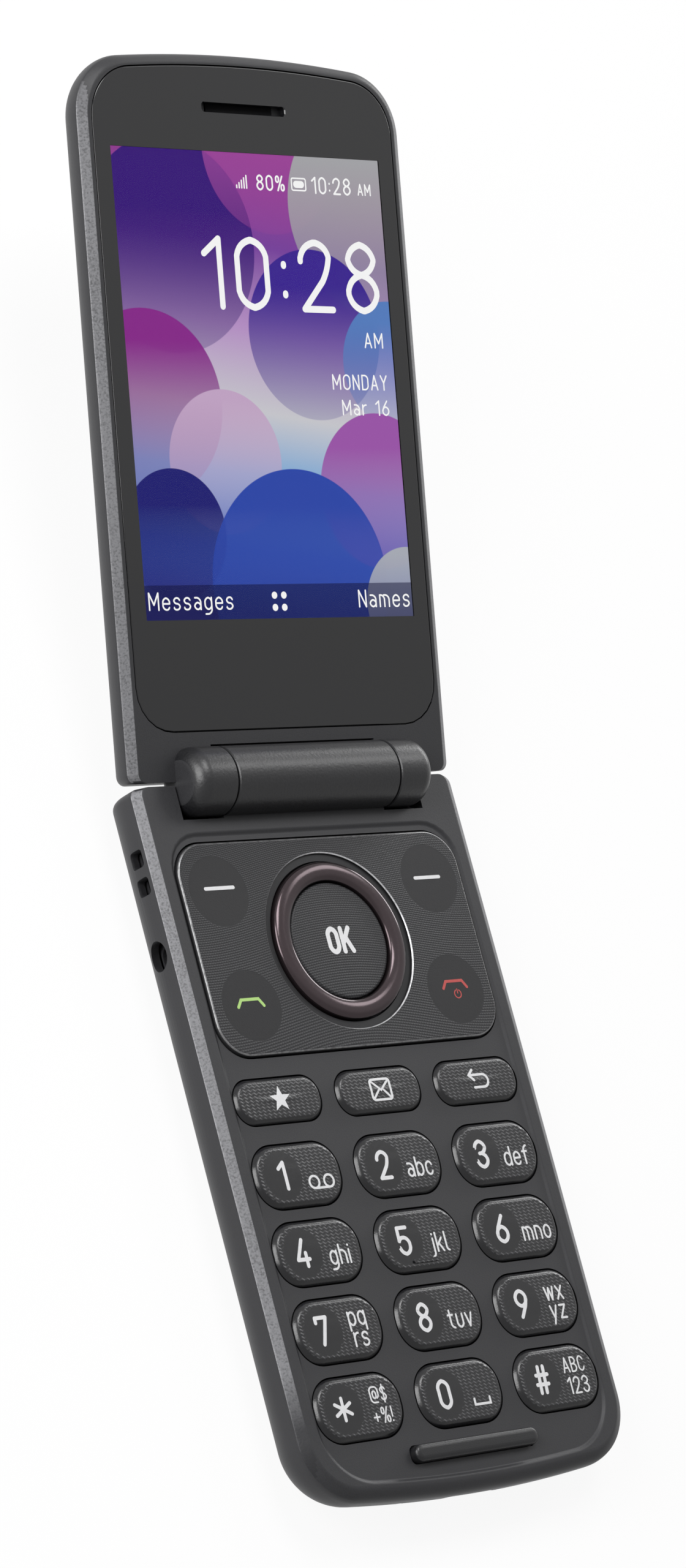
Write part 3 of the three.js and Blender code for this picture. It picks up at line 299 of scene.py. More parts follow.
def work(solid, tools, how="DIFFERENCE"):
    """The solid cut by each of the tools or joined to them; the tools are used up."""
    for tool in tools:
        step = solid.modifiers.new(how.lower(), "BOOLEAN")
        step.operation, step.solver, step.object = how, "MANIFOLD", tool
    found = bpy.context.evaluated_depsgraph_get()
    mesh = bpy.data.meshes.new_from_object(solid.evaluated_get(found))
    solid.modifiers.clear()
    solid.data = mesh
    for tool in tools:
        bpy.data.objects.remove(tool)
    return solid


def half_block(way, end, depth, relief_length, relief_radius, end_width, inset_all):
    """The outside of one half, or its inside where inset_all is more than nought."""
    start = hinge_gap + inset_all
    edge_steps, relief_steps = 16, 24

    def ring(inset, end_inset, z):
        outline = bowed(body_half - inset, start, end - end_inset, 1.3, 9.0 - end_inset, face_bow - end_inset)
        return level(outline if way > 0 else turned_round(outline), z)

    def edge_inset(radius, z):
        return radius - sqrt(max(0, (radius - inset_all) ** 2 - min(0, z + depth - radius) ** 2))

    wall_top = -inset_all if inset_all > 0 else -end_round
    end_edge = min(back_radius, depth - end_round)
    left_over = max(0, back_radius - depth - wall_top)
    sweep = acos(left_over / (back_radius - inset_all))
    rings = []
    for k in range(edge_steps + 1):
        z = -depth + back_radius - (back_radius - inset_all) * cos(sweep * k / edge_steps)
        rings.append(ring(edge_inset(back_radius, z), edge_inset(end_edge, z), z))
    if left_over == 0:
        rings.append(ring(inset_all, inset_all, wall_top))
    if inset_all == 0:
        for z in (-1.8, -1.6, -1.4, -1.2, -1.05, -0.97, -0.92, -0.87, -0.8, -0.7, -0.55, -0.4, -0.25, -0.12,
                -0.05, -0.015, 0.0):
            reach = face_band * (1 + z / 0.9)
            side = {-0.015: 1.42, 0.0: 1.52}.get(z, (reach + sqrt(reach ** 2 + 0.012)) / 2)
            side = edge_inset(back_radius, z) if z < -1.2 else side
            bow = end_width * (1 - sqrt(1 - (1 + z / end_round) ** 2))
            rings.append(ring(side, bow, z))
    solid = skin_over("half", rings)
    radius = relief_radius - inset_all
    centre = -depth + relief_radius
    swing = pi / 2 - acos(min(1, (relief_length - start) / radius))
    profile = [(relief_length - radius * sin(swing * k / relief_steps),
        centre - radius * cos(swing * k / relief_steps)) for k in range(relief_steps + 1)]
    profile += [(-4, profile[-1][1]), (-4, -depth - 4), (relief_length, -depth - 4)]
    return work(solid, [side_prism([(way * y, z) for y, z in profile], -40, 40)])


keypad_half_shape = (-1, keypad_end, keypad_depth, 15.2, 38.5, 2.0)


def rod_x(radius, x0, x1):
    return along_x([(x0, radius), (x1, radius)])


def saddle(grow):
    reach = knuckle_end + barrel_room + skin + grow
    return rod_x(barrel_radius + barrel_room + skin + grow, -reach, reach)


def key_outline(x, place, size, radius, grow):
    half_x, half_y = size[0] / 2, size[1] / 2
    return grown(x - half_x, x + half_x, -place - half_y, -place + half_y, radius, grow)


function_keys = [(name, columns[k], function_row, row_key_size, row_key_corner)
    for k, name in enumerate(("favourite", "message", "back"))]
number_keys = [(name, columns[k % 3], first_row + (k // 3) * row_pitch, key_size, key_corner)
    for k, name in enumerate(("1", "2", "3", "4", "5", "6", "7", "8", "9", "star", "0", "hash"))]
base_screws = [(-23.6, 5.0), (23.6, 5.0), (-20.6, 95.9), (20.6, 95.9)]


def through_left_wall(outline, flare):
    """A hole through the left wall whose outer edge is broken by a small flare."""
    def ring(x, grow):
        cy = sum(p[0] for p in outline) / len(outline)
        cz = sum(p[1] for p in outline) / len(outline)
        return [(x, y + grow * (y - cy), z + grow * (z - cz)) for y, z in outline]
    return skin_over("tool", [ring(-31, flare * 2.6), ring(-29.2, flare), ring(-28.9, flare * 0.25),
        ring(-28.6, 0), ring(-25.7, 0)])


def wall_holes():
    """The headphone hole and the strap's two slots in the left wall, and two holes in the free end."""
    holes = [through_left_wall(circle(*jack_hole, 48), 0.1)]
    for place in strap_holes:
        slot = rounded(-place - strap_half, -place + strap_half, *strap_z, 0.5)
        holes.append(through_left_wall(slot, 0.12))
    for outline in (rounded(*charging_hole), circle(*microphone_hole, 24)):
        holes.append(skin_over("tool", [[(x, y, z) for x, z in outline] for y in (-108, -97.7)]))
    return holes


def grained(name, colour, roughness, grain=0.2, pit=0.00002, tone=0.12, **sockets):
    """Moulded plastic or paint: a fine grain of light and dark specks with small pits."""
    material, tree, shader = new_material(name, Roughness=roughness, **sockets)
    where = node(tree, "TexCoord")["Object"]
    speck = node(tree, "TexNoise", where, Scale=1000 / grain, Detail=3.0)[0]
    cloud = node(tree, "TexNoise", where, Scale=60.0)[0]
    ramp = tree.nodes.new("ShaderNodeValToRGB")
    for stop, position, share in zip(ramp.color_ramp.elements, (0.32, 0.68), (1 - tone, 1 + tone)):
        stop.position, stop.color = position, [c * share for c in colour] + [1]
    feed(tree, ramp.inputs[0], maths(tree, "MULTIPLY_ADD", cloud, 0.25, speck))
    rough = node(tree, "MapRange", speck, To_Min=roughness - 0.05, To_Max=min(1.0, roughness + 0.08))[0]
    bump = node(tree, "Bump", Height=speck, Distance=pit, Strength=0.6)[0]
    for socket, value in (("Base Color", ramp.outputs[0]), ("Roughness", rough), ("Normal", bump)):
        tree.links.new(value, shader.inputs[socket])
    return material


def tinted(tree, share, colour, tint):
    """A colour with a share of a tint mixed in."""
    mix = tree.nodes.new("ShaderNodeMix")
    mix.data_type = "RGBA"
    for socket, value in ((0, share), (6, colour), (7, [*tint, 1])):
        feed(tree, mix.inputs[socket], value)
    return mix.outputs[2]


def tint_over(tree, share, tint):
    """Mixes a share of a tint into a finish."""
    colour = tree.nodes["Principled BSDF"].inputs["Base Color"]
    feed(tree, colour, tinted(tree, share, colour.links[0].from_socket, tint))


def place_in_mm(tree, axes="XY"):
    """Where the surface is, in millimetres in the piece's own frame."""
    spot = node(tree, "SeparateXYZ", node(tree, "TexCoord")["Object"])
    return [maths(tree, "MULTIPLY", spot[axis], 1000.0) for axis in axes]


charcoal_colour = (0.024, 0.024, 0.026)
charcoal = grained("charcoal_plastic", charcoal_colour, 0.42, Specular_IOR_Level=0.25)
barrel_satin = grained("barrel_satin", (0.007, 0.007, 0.008), 0.34, grain=0.35, pit=0.00005, tone=0.25,
    Specular_IOR_Level=0.45)
# The silver band on the sloped edges: partly silver sparkle paint and partly a painted highlight where the
# slope catches the light.
silver_band_highlight = grained("silver_band_painted_highlight", (0.10, 0.10, 0.105), 0.42, grain=0.3, pit=0.00004, tone=0.5,
    Metallic=0.35, Specular_IOR_Level=0.3)
# Near-black: painted shade on the walls of the face's openings, on the caps' flanks in the gaps and on the
# earpiece mesh, and the own dark colour of other inside parts.
dark_parts_and_painted_shade = grained("dark_parts_and_painted_shade", (0.006, 0.006, 0.0065), 0.8, Specular_IOR_Level=0.05)

# Painted shade: the silver band's colour fades to charcoal towards the two free ends of the open phone.
fade_middle, fade_from, fade_to = 53.5, 84.5, 92.5
band_tree = silver_band_highlight.node_tree
past_middle = maths(band_tree, "SUBTRACT", *place_in_mm(band_tree, "Y"), fade_middle)
thin = node(band_tree, "MapRange", maths(band_tree, "ABSOLUTE", past_middle), From_Min=fade_from, From_Max=fade_to)[0]
tint_over(band_tree, thin, charcoal_colour)


def dress(solid, finishes, choose=None, crease=34):
    """Gives the piece its finishes, face by face, and smooths all but its creases."""
    mesh = solid.data
    mesh.materials.clear()
    for finish in finishes:
        mesh.materials.append(finish)
    for face in mesh.polygons:
        face.material_index = choose(face.center / MM, face.normal) if choose else 0
    mesh.set_sharp_from_angle(angle=radians(crease))
    for face in mesh.polygons:
        face.use_smooth = abs(face.normal.z) < 0.9995


def fit(solid, name, place, body, slot, *nodes, own_frame=False):
    """Puts a finished piece in its place on the phone and on its body, and hides the parts it replaces; its
    colour slot is not used.
    """
    solid.name = solid.data.name = name
    if own_frame:
        solid.matrix_world = place
    else:
        solid.data.transform(place)
    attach(solid, body)
    if nodes:
        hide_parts(*nodes)


def on_band(centre, normal):
    """The satin hinge, the sloped band along both sides of the face in silver with a painted highlight, and
    painted shade on the walls of openings.
    """
    x, y = abs(centre.x), abs(centre.y)
    off_line = sqrt(centre.y ** 2 + (centre.z - hinge_z) ** 2)
    outwards = abs(normal.y * centre.y + normal.z * (centre.z - hinge_z))
    if x < knuckle_end + 0.1 and off_line < barrel_radius + 0.05 and outwards > 0.3 * off_line:
        return 3
    if x > 27.5 and normal.z > 0.35 and abs(normal.x) > 0.45 and y < 98:
        return 1
    in_face = x < 26.5 and 8 < y < 99.5 and x + y < 122 and centre.z > -8
    return 2 if in_face and abs(normal.z) < 0.3 else 0


def bored(radius, z0, z1, places, steps=64):
    return [disc(radius, z0, z1, x, -place, steps) for x, place in places]


cavity = work(half_block(*keypad_half_shape, skin), [saddle(0)] + bored(screw_well, -3.76, 0, base_screws))
notch = [rod_x(barrel_radius + barrel_room, side * barrel_half, side * (knuckle_end + barrel_room))
    for side in (-1, 1)]
bores = [rod_x(cam_bore, -18.6, 2.7), rod_x(pin_bore, 7.8, 18.6)]
housing = work(half_block(*keypad_half_shape, 0), [cavity, block(*past_keypad, -20, seam_z)] + notch)
barrel = along_x([(-barrel_half, barrel_radius - edge_drop), (-barrel_half + edge_run, barrel_radius),
    (barrel_half - edge_run, barrel_radius), (barrel_half, barrel_radius - edge_drop)])
panel_tool = stack("tool", lambda grow: turned_round(grown_face(*panel, grow)), ((-0.55, -0.3),
    (-0.45, -0.285), (-0.33, -0.22), (-0.2, -0.12), (-0.1, -0.05), (0, -0.012), (0.12, 0), (0.2, 0.6)))
openings = [prism(key_outline(x, place, size, radius, key_gap), -4, 4)
    for name, x, place, size, radius in function_keys + number_keys]
openings += [prism(grown(*plate_box, plate_gap), plate_pocket, 4),
    prism(grown(*bar_box, bar_hole_corner, bar_gap), bar_pocket, 4)]
openings += bored(screw_hole, -7.76, -2.32, base_screws, 16)
housing = work(work(housing, [barrel], "UNION"), bores + [panel_tool] + openings + wall_holes())
dress(housing, [charcoal, silver_band_highlight, dark_parts_and_painted_shade, barrel_satin], on_band)
fit(housing, "keypad_housing", keypad_place, "keypad_half", "body_plastic", "base_front_housing")

# ---------------------------------------------------------------------------
# The back of the keypad half: a cover in the same charcoal plastic that clips on
# over the battery, with sound slots. The inner frame next to it keeps its shape.
# ---------------------------------------------------------------------------
cover_start = 16.6
seam_gap = 0.08
speaker_x, speaker_y = 16.0, -26.4
slot_pitch, slot_half, slot_radius = 2.2, 4.5, 0.5
slots = [rounded(speaker_x - slot_half, speaker_x + slot_half, y - slot_radius, y + slot_radius, slot_radius)
    for y in [speaker_y + k * slot_pitch for k in range(-2, 3)]]
cover = work(half_block(*keypad_half_shape, 0), [half_block(*keypad_half_shape, skin),
    block(*past_keypad, seam_z - seam_gap, 20), block(-40, 40, -cover_start, 10, -20, 20)]
    + [prism(outline, -14, -4) for outline in slots])
dress(cover, [charcoal])
fit(cover, "back_cover", keypad_place, "keypad_half", "body_plastic", "battery_cover")

# ---------------------------------------------------------------------------
# The navigation plate: one moulded pad that rocks on four spots, cut with fine
# wavy rows of dashes. Round smooth spots mark the soft keys and the call keys.
# ---------------------------------------------------------------------------
ring_place = 23.6
well_radius, plate_hole = 12.7, 11.65
plate_top, plate_bottom = 0.2, -1.0
soft_spot = (19.2, 15.6)
call_spot = (18.6, 31.9)
spot_radius = 5.0


def outside_oval(tree, x, y, cx, cy, rx, ry, soft=0.12):
    """Nought inside an oval and one outside it."""
    calc = partial(maths, tree)
    a, b = [calc("POWER", calc("DIVIDE", calc("SUBTRACT", axis, middle), radius), 2.0)
        for axis, middle, radius in ((x, cx, rx), (y, cy, ry))]
    past = calc("SUBTRACT", calc("SQRT", calc("ADD", a, b)), 1.0)
    return calc("SMOOTH_MIN", calc("MAXIMUM", calc("DIVIDE", past, soft / rx), 0.0), 1.0, 0.1)


def textured(material, height, crest_highlight, depth):
    """Adds a cut pattern to a grained finish: its height goes to the bump, and a painted highlight brightens
    its crests.
    """
    tree = material.node_tree
    normal = tree.nodes["Principled BSDF"].inputs["Normal"]
    feed(tree, normal, node(tree, "Bump", Height=height, Distance=depth, Strength=1.0,
        Normal=normal.links[0].from_socket)[0])
    tint_over(tree, height, crest_highlight)
    return material


def waves(tree, row):
    """Ridges from nought to one, a ridge to each row."""
    wave = maths(tree, "SINE", maths(tree, "MULTIPLY", row, 2 * pi))
    return maths(tree, "MULTIPLY_ADD", wave, 0.5, 0.5)


def dashed(name, spots):
    """The plate's plastic, with rows of dashes that get wider apart towards the number keys, and a painted
    highlight on their crests.
    """
    widening, top_pitch, dash_length, wave_length, wave_height = 0.00467, 0.228, 0.44, 50, 1.6
    material = grained(name, (0.006, 0.006, 0.007), 0.4, grain=0.15, Specular_IOR_Level=0.25)
    tree = material.node_tree
    calc = partial(maths, tree)
    x, y = place_in_mm(tree)
    wave = calc("MULTIPLY", calc("COSINE", calc("MULTIPLY", x, 2 * pi / wave_length)), wave_height)
    down = calc("ADD", calc("MULTIPLY", y, -1.0), wave)
    pitch = calc("MULTIPLY_ADD", down, widening, top_pitch)
    row = calc("MULTIPLY", calc("LOGARITHM", pitch, 2.718282), 1 / widening)
    odd = calc("MULTIPLY", calc("FLOORED_MODULO", calc("FLOOR", row), 2.0), dash_length / 2)
    dash = calc("SINE", calc("MULTIPLY", calc("ADD", x, odd), 2 * pi / dash_length))
    height = calc("MULTIPLY", waves(tree, row), calc("MULTIPLY_ADD", dash, 0.35, 0.65))
    for cx, cy in spots:
        height = calc("MULTIPLY", height, outside_oval(tree, x, y, cx, cy, spot_radius, spot_radius))
    return textured(material, height, (0.048, 0.048, 0.051), 0.00003)


plate_finish = dashed("dashed_plate", [(side * x, -y) for x, y in (soft_spot, call_spot) for side in (-1, 1)])
plate_solid = stack("plate", partial(grown, *plate_box), ((0, plate_bottom), (0, plate_top - 0.4),
    (-0.03, plate_top - 0.28), (-0.1, plate_top - 0.16), (-0.2, plate_top - 0.06),
    (-0.32, plate_top - 0.012), (-0.42, plate_top)))
well_tool = stack("tool", lambda grow: circle(0, -ring_place, well_radius + grow, 128),
    ((0, plate_top - 0.45), (0, plate_top - 0.14), (0.1, plate_top - 0.03), (0.2, plate_top + 0.03),
    (0.2, 4)))
plate_solid = work(plate_solid, [disc(plate_hole, -4, 4, 0, -ring_place, 128), well_tool])


def plate_faces(centre, normal):
    """The broken edge of the well and the outer edge get bright and satin metal colours as painted
    highlights, and the well and the sides are dark.
    """
    away = sqrt(centre.x ** 2 + (centre.y + ring_place) ** 2)
    if normal.z > 0.97 and centre.z > 0:
        return 0
    if centre.z <= plate_top - 0.2:
        return 2
    return 1 if well_radius - 0.1 < away < well_radius + 0.3 else 3


# Painted highlights: bright and satin metal colours on the plastic pad's edges.
well_edge_highlight = grained("well_edge_highlight", (0.42, 0.42, 0.43), 0.3, grain=0.4, tone=0.35, Metallic=0.8)
plate_edge_highlight = grained("plate_edge_highlight", (0.12, 0.12, 0.122), 0.3, grain=0.5, tone=0.5, Metallic=0.6)
well_plastic = grained("well_plastic", (0.013, 0.013, 0.014), 0.5, Specular_IOR_Level=0.25)
dress(plate_solid, [plate_finish, well_edge_highlight, well_plastic, plate_edge_highlight], plate_faces)
fit(plate_solid, "navigation_pad", keypad_place, "plate", "key_plastic", "nav_plate", own_frame=True)

# ---------------------------------------------------------------------------
# The rocking ring and the round key inside it: a plated ring in dark plum with
# a soft crown, and a cap in the plate's pattern, on a post that passes the ring.
# ---------------------------------------------------------------------------
ring_outer, ring_inner = 11.4, 8.62
ring_top, ring_bottom, ring_crown = 0.75, -0.85, 0.65
ok_radius, ok_top = 8.4, 0.15


def turned_up(name, profile, x, y, steps=128):
    """A turned piece on an upright axis, from a closed profile of radius and height."""
    corners, faces, count = [], [], len(profile)
    for k in range(steps):
        angle = 2 * pi * k / steps
        corners += [(x + r * cos(angle), y + r * sin(angle), z) for r, z in profile]
        for j in range(count):
            a, b = k * count + j, k * count + (j + 1) % count
            c, d = [(p + count) % (steps * count) for p in (a, b)]
            faces.append((a, c, d, b))

    def close_at_axis(mesh):
        bmesh.ops.remove_doubles(mesh, verts=mesh.verts, dist=1e-7)
        bmesh.ops.dissolve_degenerate(mesh, edges=mesh.edges, dist=1e-7)
        bmesh.ops.delete(mesh, geom=[edge for edge in mesh.edges if not edge.link_faces], context="EDGES")

    return solid_from(name, corners, faces, close_at_axis)


middle, half_ring = (ring_outer + ring_inner) / 2, (ring_outer - ring_inner) / 2
crown = [(middle + half_ring * cos(pi * k / 16), ring_top - ring_crown + ring_crown * sin(pi * k / 16) ** 0.8)
    for k in range(17)]
ring_solid = turned_up("ring", [(ring_inner, ring_bottom), (ring_outer, ring_bottom)] + crown, 0, -ring_place)
plum = grained("plum_plating", (0.046, 0.035, 0.038), 0.14, grain=0.3, pit=0.000001, tone=0.04, Metallic=0.8)
dress(ring_solid, [plum])
fit(ring_solid, "rocking_ring", keypad_place, "ring", "ring_metal", "nav_ring")

ok_solid = turned_up("ok", [(0, -1.7), (1.6, -1.7), (1.6, ok_top - 1.1), (ok_radius, ok_top - 1.1),
    (ok_radius, ok_top - 0.3), (ok_radius - 0.06, ok_top - 0.16), (ok_radius - 0.2, ok_top - 0.05),
    (ok_radius - 0.4, ok_top), (ok_radius - 2, ok_top + 0.02), (ok_radius - 5, ok_top + 0.04),
    (0, ok_top + 0.05)], 0, -ring_place)
ok_finish = dashed("dashed_cap", [])
dress(ok_solid, [ok_finish])
fit(ok_solid, "ok_cap", keypad_place, "ok", "key_plastic", "ok_key", own_frame=True)

# ---------------------------------------------------------------------------
# The printed signs: light grey ink, laid on the caps in one pass. Letters and
# digits are plain and narrow; lines with round ends make the small signs.
# ---------------------------------------------------------------------------
ink_lift, ink_root, ink_step, ink_overlap = 0.014, 0.05, 0.7, 0.002


def printed(name, colour):
    return grained(name, colour, 0.45, grain=0.2, pit=0.000003, tone=0.05)


grey_ink = printed("grey_ink", (0.62, 0.62, 0.63))
green_ink = printed("green_ink", (0.33, 0.52, 0.15))
red_ink = printed("red_ink", (0.36, 0.04, 0.035))


def line_sign(points, width, closed=False):
    """A flat line of even width through the points, with round ends; pieces of (corners, faces)."""
    half = width / 2
    corners, faces, fine = [], [], []
    for k, here in enumerate(points):
        fine.append(here)
        if closed or k < len(points) - 1:
            there = points[(k + 1) % len(points)]
            steps = int(sqrt((there[0] - here[0]) ** 2 + (there[1] - here[1]) ** 2) / ink_step) + 1
            fine += [(here[0] + (there[0] - here[0]) * j / steps, here[1] + (there[1] - here[1]) * j / steps)
                for j in range(1, steps)]
    points = fine
    count = len(points)
    for k, (x, y) in enumerate(points):
        px, py = points[k - 1] if closed or k > 0 else points[k]
        nx, ny = points[(k + 1) % count] if closed or k < count - 1 else points[k]
        before, after = Vector((x - px, y - py)), Vector((nx - x, ny - y))
        before = (before if before.length > 1e-9 else after).normalized()
        after = (after if after.length > 1e-9 else before).normalized()
        along = (before + after).normalized()
        across = Vector((-along.y, along.x)) * half / max(0.5, along.dot(before))
        corners += [(x + across.x, y + across.y), (x - across.x, y - across.y)]
    for k in range(count if closed else count - 1):
        a, b = 2 * k, 2 * ((k + 1) % count)
        faces.append((a, a + 1, b + 1, b))
    if not closed:
        for tip, inner, flip in ((0, 1, 1), (count - 1, count - 2, -1)):
            x, y = points[tip]
            away = atan2(y - points[inner][1], x - points[inner][0])
            cap = arc(x, y, half, away - pi / 2, away + pi / 2, 8)
            first = len(corners)
            corners += cap
            faces.append(tuple(range(first, first + len(cap))))
    return corners, faces


def softened(points, radius, closed=False):
    """The line with its corners rounded; a corner's third number is a radius of its own."""
    count = len(points)
    soft = []
    for k, point in enumerate(points):
        here = Vector(point[:2])
        reach = point[2] if len(point) > 2 else radius
        if reach == 0 or (not closed and k in (0, count - 1)):
            soft.append(tuple(here))
            continue
        before, after = Vector(points[k - 1][:2]) - here, Vector(points[(k + 1) % count][:2]) - here
        share_before = 0.5 if closed or k > 1 else 1.0
        share_after = 0.5 if closed or k < count - 2 else 1.0
        reach = min(reach, before.length * share_before, after.length * share_after)
        a, b = here + before.normalized() * reach, here + after.normalized() * reach
        for step in range(7):
            t = step / 6
            soft.append(tuple(a * (1 - t) ** 2 + here * 1.2 * t * (1 - t) + (a + b) * 0.4 * t * (1 - t)
                + b * t ** 2))
    return soft


# A glyph's lines are parted by "/". Their points are in hundredths of a capital's height, four numbers
# are two corners of a box, "!" marks a sharp corner, and a line that starts with "o" is a closed loop.
glyphs = {
    "0": "o0,0,50,100", "1": "2,78 28,100! 28,0", "2": "0,72 0,100 50,100 50,58 2,0! 52,0",
    "3": "0,76 0,100 50,100 50,53 18,53/18,53 50,53 50,0 0,0 0,24", "4": "34,100 0,26! 54,26/40,50 40,0",
    "5": "47,100 5,100! 3,50/3,50 6,62 50,62 50,0 0,0 0,24", "6": "o0,0,50,58/38,100 0,42 0,25",
    "7": "0,82 0,100! 50,100! 18,0", "8": "o2,54,48,100/o0,0,50,54", "9": "o0,42,50,100/50,75 50,56 14,0",
    "a": "4,70 43,70 43,0/o0,0,43,41", "b": "0,100 0,0/o0,0,46,70", "c": "43,52 43,70 0,70 0,0 43,0 43,18",
    "d": "46,100 46,0/o0,0,46,70", "e": "2,36 46,36! 46,70 0,70 0,0 43,0 43,14",
    "f": "38,100 15,100 15,0/0,68 34,68", "g": "o0,0,46,70/46,70 46,-28 3,-28",
    "h": "0,100 0,0/0,70 43,70 43,0", "i": "0,70 0,0/0,93 0,95", "j": "12,70 12,-28 -6,-28/12,93 12,95",
    "k": "0,100 0,0/40,70 2,30/15,43 43,0", "l": "0,100 0,0 16,0",
    "m": "0,70 0,0/0,70 34,70 34,0/30,70 68,70 68,0", "n": "0,70 0,0/0,70 43,70 43,0", "o": "o0,0,46,70",
    "p": "0,70 0,-28/o0,0,46,70", "q": "46,70 46,-28/o0,0,46,70", "r": "0,70 0,0/0,40 0,70 30,70",
    "s": "40,56 40,70 1,70 1,36 42,36 42,0 0,0 0,14", "t": "14,95 14,0 36,0/0,70 34,70",
    "u": "0,70 0,0 43,0 43,70", "v": "0,70 22,0! 44,70", "w": "0,70 16,0! 32,66! 48,0! 64,70",
    "x": "0,70 43,0/43,70 0,0", "y": "0,70 23,0/46,70 14,-28", "z": "0,70 42,70! 0,0! 42,0",
    "A": "0,0 27,100! 54,0/9,30 45,30", "B": "0,53 44,53 44,100 0,100! 0,0! 48,0 48,53 10,53",
    "C": "48,76 48,100 0,100 0,0 48,0 48,24", "D": "o0,0! 50,0 50,100 0,100!",
    "K": "0,0 0,100/50,100 6,42/22,62 54,0", "M": "0,0 0,100! 32,30! 64,100! 64,0",
    "N": "0,0 0,100! 50,0! 50,100", "O": "o0,0,54,100", "Y": "0,100 26,48! 26,0/52,100 26,48",
    "@": "o22,22,52,72/52,22 74,22 74,100 0,100 0,-6 60,-6",
    "$": "43,76 43,92 1,92 1,50 45,50 45,6 0,6 0,24/22,108 22,-10", "+": "0,40 50,40/25,15 25,65",
    "%": "o0,58,24,100/o44,0,68,42/14,0 54,100", "!": "0,100 0,34/0,6 0,4",
    "#": "12,0 20,100/38,0 46,100/0,32 56,32/3,68 59,68", ":": "0,20 0,22/0,64 0,66", " ": "",
}


def strokes(code):
    """The lines of a glyph, on a capital height of one."""
    lines = []
    for part in code.split("/") if code else ():
        line = ["o"] if part[0] == "o" else []
        for spot in part.lstrip("o").split():
            numbers = tuple(int(number) / 100 for number in spot.rstrip("!").split(","))
            if len(numbers) == 4:
                x0, y0, x1, y1 = numbers
                line += [(x0, y0), (x1, y0), (x1, y1), (x0, y1)]
            else:
                line.append(numbers + (0,) * spot.endswith("!"))
        lines.append(line)
    return lines


def split_at_points(line):
    """An open line parts at each sharp corner, so that both strokes get round ends there."""
    if line[0] == "o":
        return [line]
    cuts = [0] + [k for k in range(1, len(line) - 1) if len(line[k]) > 2] + [len(line) - 1]
    return [line[a:b + 1] for a, b in zip(cuts, cuts[1:])]


def lettering(text, height, x, y, stroke, anchor=0.5, wide=1.0, apart=0.2):
    """A word in plain rounded strokes: its capital height, its place, and where along it that place is."""
    lines, pen = [], 0.0
    for letter in text:
        glyph = strokes(glyphs[letter])
        points = [p for line in glyph for p in line if p != "o"]
        lines += [(pen, line) for line in glyph]
        pen += (max([p[0] for p in points], default=0.2) + apart + stroke / height) * wide
    pen -= (apart + stroke / height) * wide
    signs = []
    for start, line in [(start, part) for start, line in lines for part in split_at_points(line)]:
        closed = line[0] == "o"
        corners = softened(line[1:] if closed else line, 0.24, closed)
        placed = [(x + (start + px * wide - pen * anchor) * height, y + (py - 0.5) * height)
            for px, py in corners]
        signs.append(line_sign(placed, stroke, closed))
    return signs


def ink(name, signs, top, material, lift=ink_lift, root=ink_root):
    """A thin closed layer of ink on the surface top(x, y); strokes that cross differ in height."""
    corners, faces = [], []
    for k, (flat, parts) in enumerate(signs):
        first = len(corners)
        corners += [(x, y, top(x, y) + lift + k % 3 * ink_overlap) for x, y in flat]
        faces += [tuple(first + corner for corner in part) for part in parts]

    def thicken(layer):
        bmesh.ops.remove_doubles(layer, verts=layer.verts, dist=1e-7)
        bmesh.ops.recalc_face_normals(layer, faces=layer.faces)
        for face in layer.faces:
            if face.normal.z < 0:
                face.normal_flip()
        under = bmesh.ops.extrude_face_region(layer, geom=layer.faces[:], use_keep_orig=True)["geom"]
        for corner in under:
            if isinstance(corner, bmesh.types.BMVert):
                corner.co.z -= (lift + root) * MM

    solid = solid_from(name, corners, faces, thicken)
    solid.data.materials.append(material)
    return solid


def flat_top(z):
    return lambda x, y: z


def mark(name, signs, top, colour, body, place=keypad_place, slot="key_plastic", **depths):
    fit(ink(name, signs, top, colour, **depths), name, place, body, slot)


def dash_sign(x, y, width, height):
    reach = (width - height) / 2
    return line_sign([(x - reach, y), (x + reach, y)], height)


def handset(x, y, width, stroke):
    """A telephone receiver seen from the side: a flat arch with turned-down ends."""
    half, flat = width / 2, width * 0.34
    return line_sign([(x - half, y - 0.5), (x - flat, y + 0.5), (x + flat, y + 0.5), (x + half, y - 0.5)],
        stroke)


mark("soft_key_marks", [dash_sign(-18.9, -15.1, 5.4, 0.52), dash_sign(18.9, -15.4, 5.0, 0.5)],
    flat_top(plate_top), grey_ink, "plate")
mark("call_mark", [handset(-18.7, -31.5, 4.5, 0.44)], flat_top(plate_top), green_ink, "plate")
power_x, power_y = 18.8, -32.6
mark("end_mark", [handset(18.6, -31.2, 4.4, 0.42),
    line_sign(arc(power_x, power_y, 0.6, pi * 0.65, pi * 2.35, 20), 0.16),
    line_sign([(power_x, power_y + 0.1), (power_x, power_y + 0.7)], 0.16)],
    flat_top(plate_top), red_ink, "plate")
mark("ok_mark", lettering("OK", 3.3, 0, -ring_place, 0.72, apart=0.1, wide=0.86),
    flat_top(ok_top + 0.045), grey_ink, "ok")

# ---------------------------------------------------------------------------
# The fifteen keys: caps of charcoal plastic, held under the face by a flange,
# with a broad rounded shoulder, a cut zigzag and a smooth place for the digit.
# ---------------------------------------------------------------------------
key_foot, key_flange_top, key_flange = -1.7, -1.3, 0.45
key_shoulder_z, key_shoulder, key_rise, key_dome = -0.3, 0.8, 0.6, 0.1


def key_top(size, radius):
    """The height of the key's top at a place measured from its middle."""
    def top(x, y):
        qx, qy = abs(x) - (size[0] / 2 - radius), abs(y) - (size[1] / 2 - radius)
        inset = radius - (sqrt(max(qx, 0) ** 2 + max(qy, 0) ** 2) + min(max(qx, qy), 0))
        climb = 1 - min(max(inset, 0), key_shoulder) / key_shoulder
        dome = (1 - (2 * x / size[0]) ** 2) * (1 - (2 * y / size[1]) ** 2)
        return key_shoulder_z + key_rise * (1 - climb ** 1.9) + key_dome * max(0, dome)
    return top


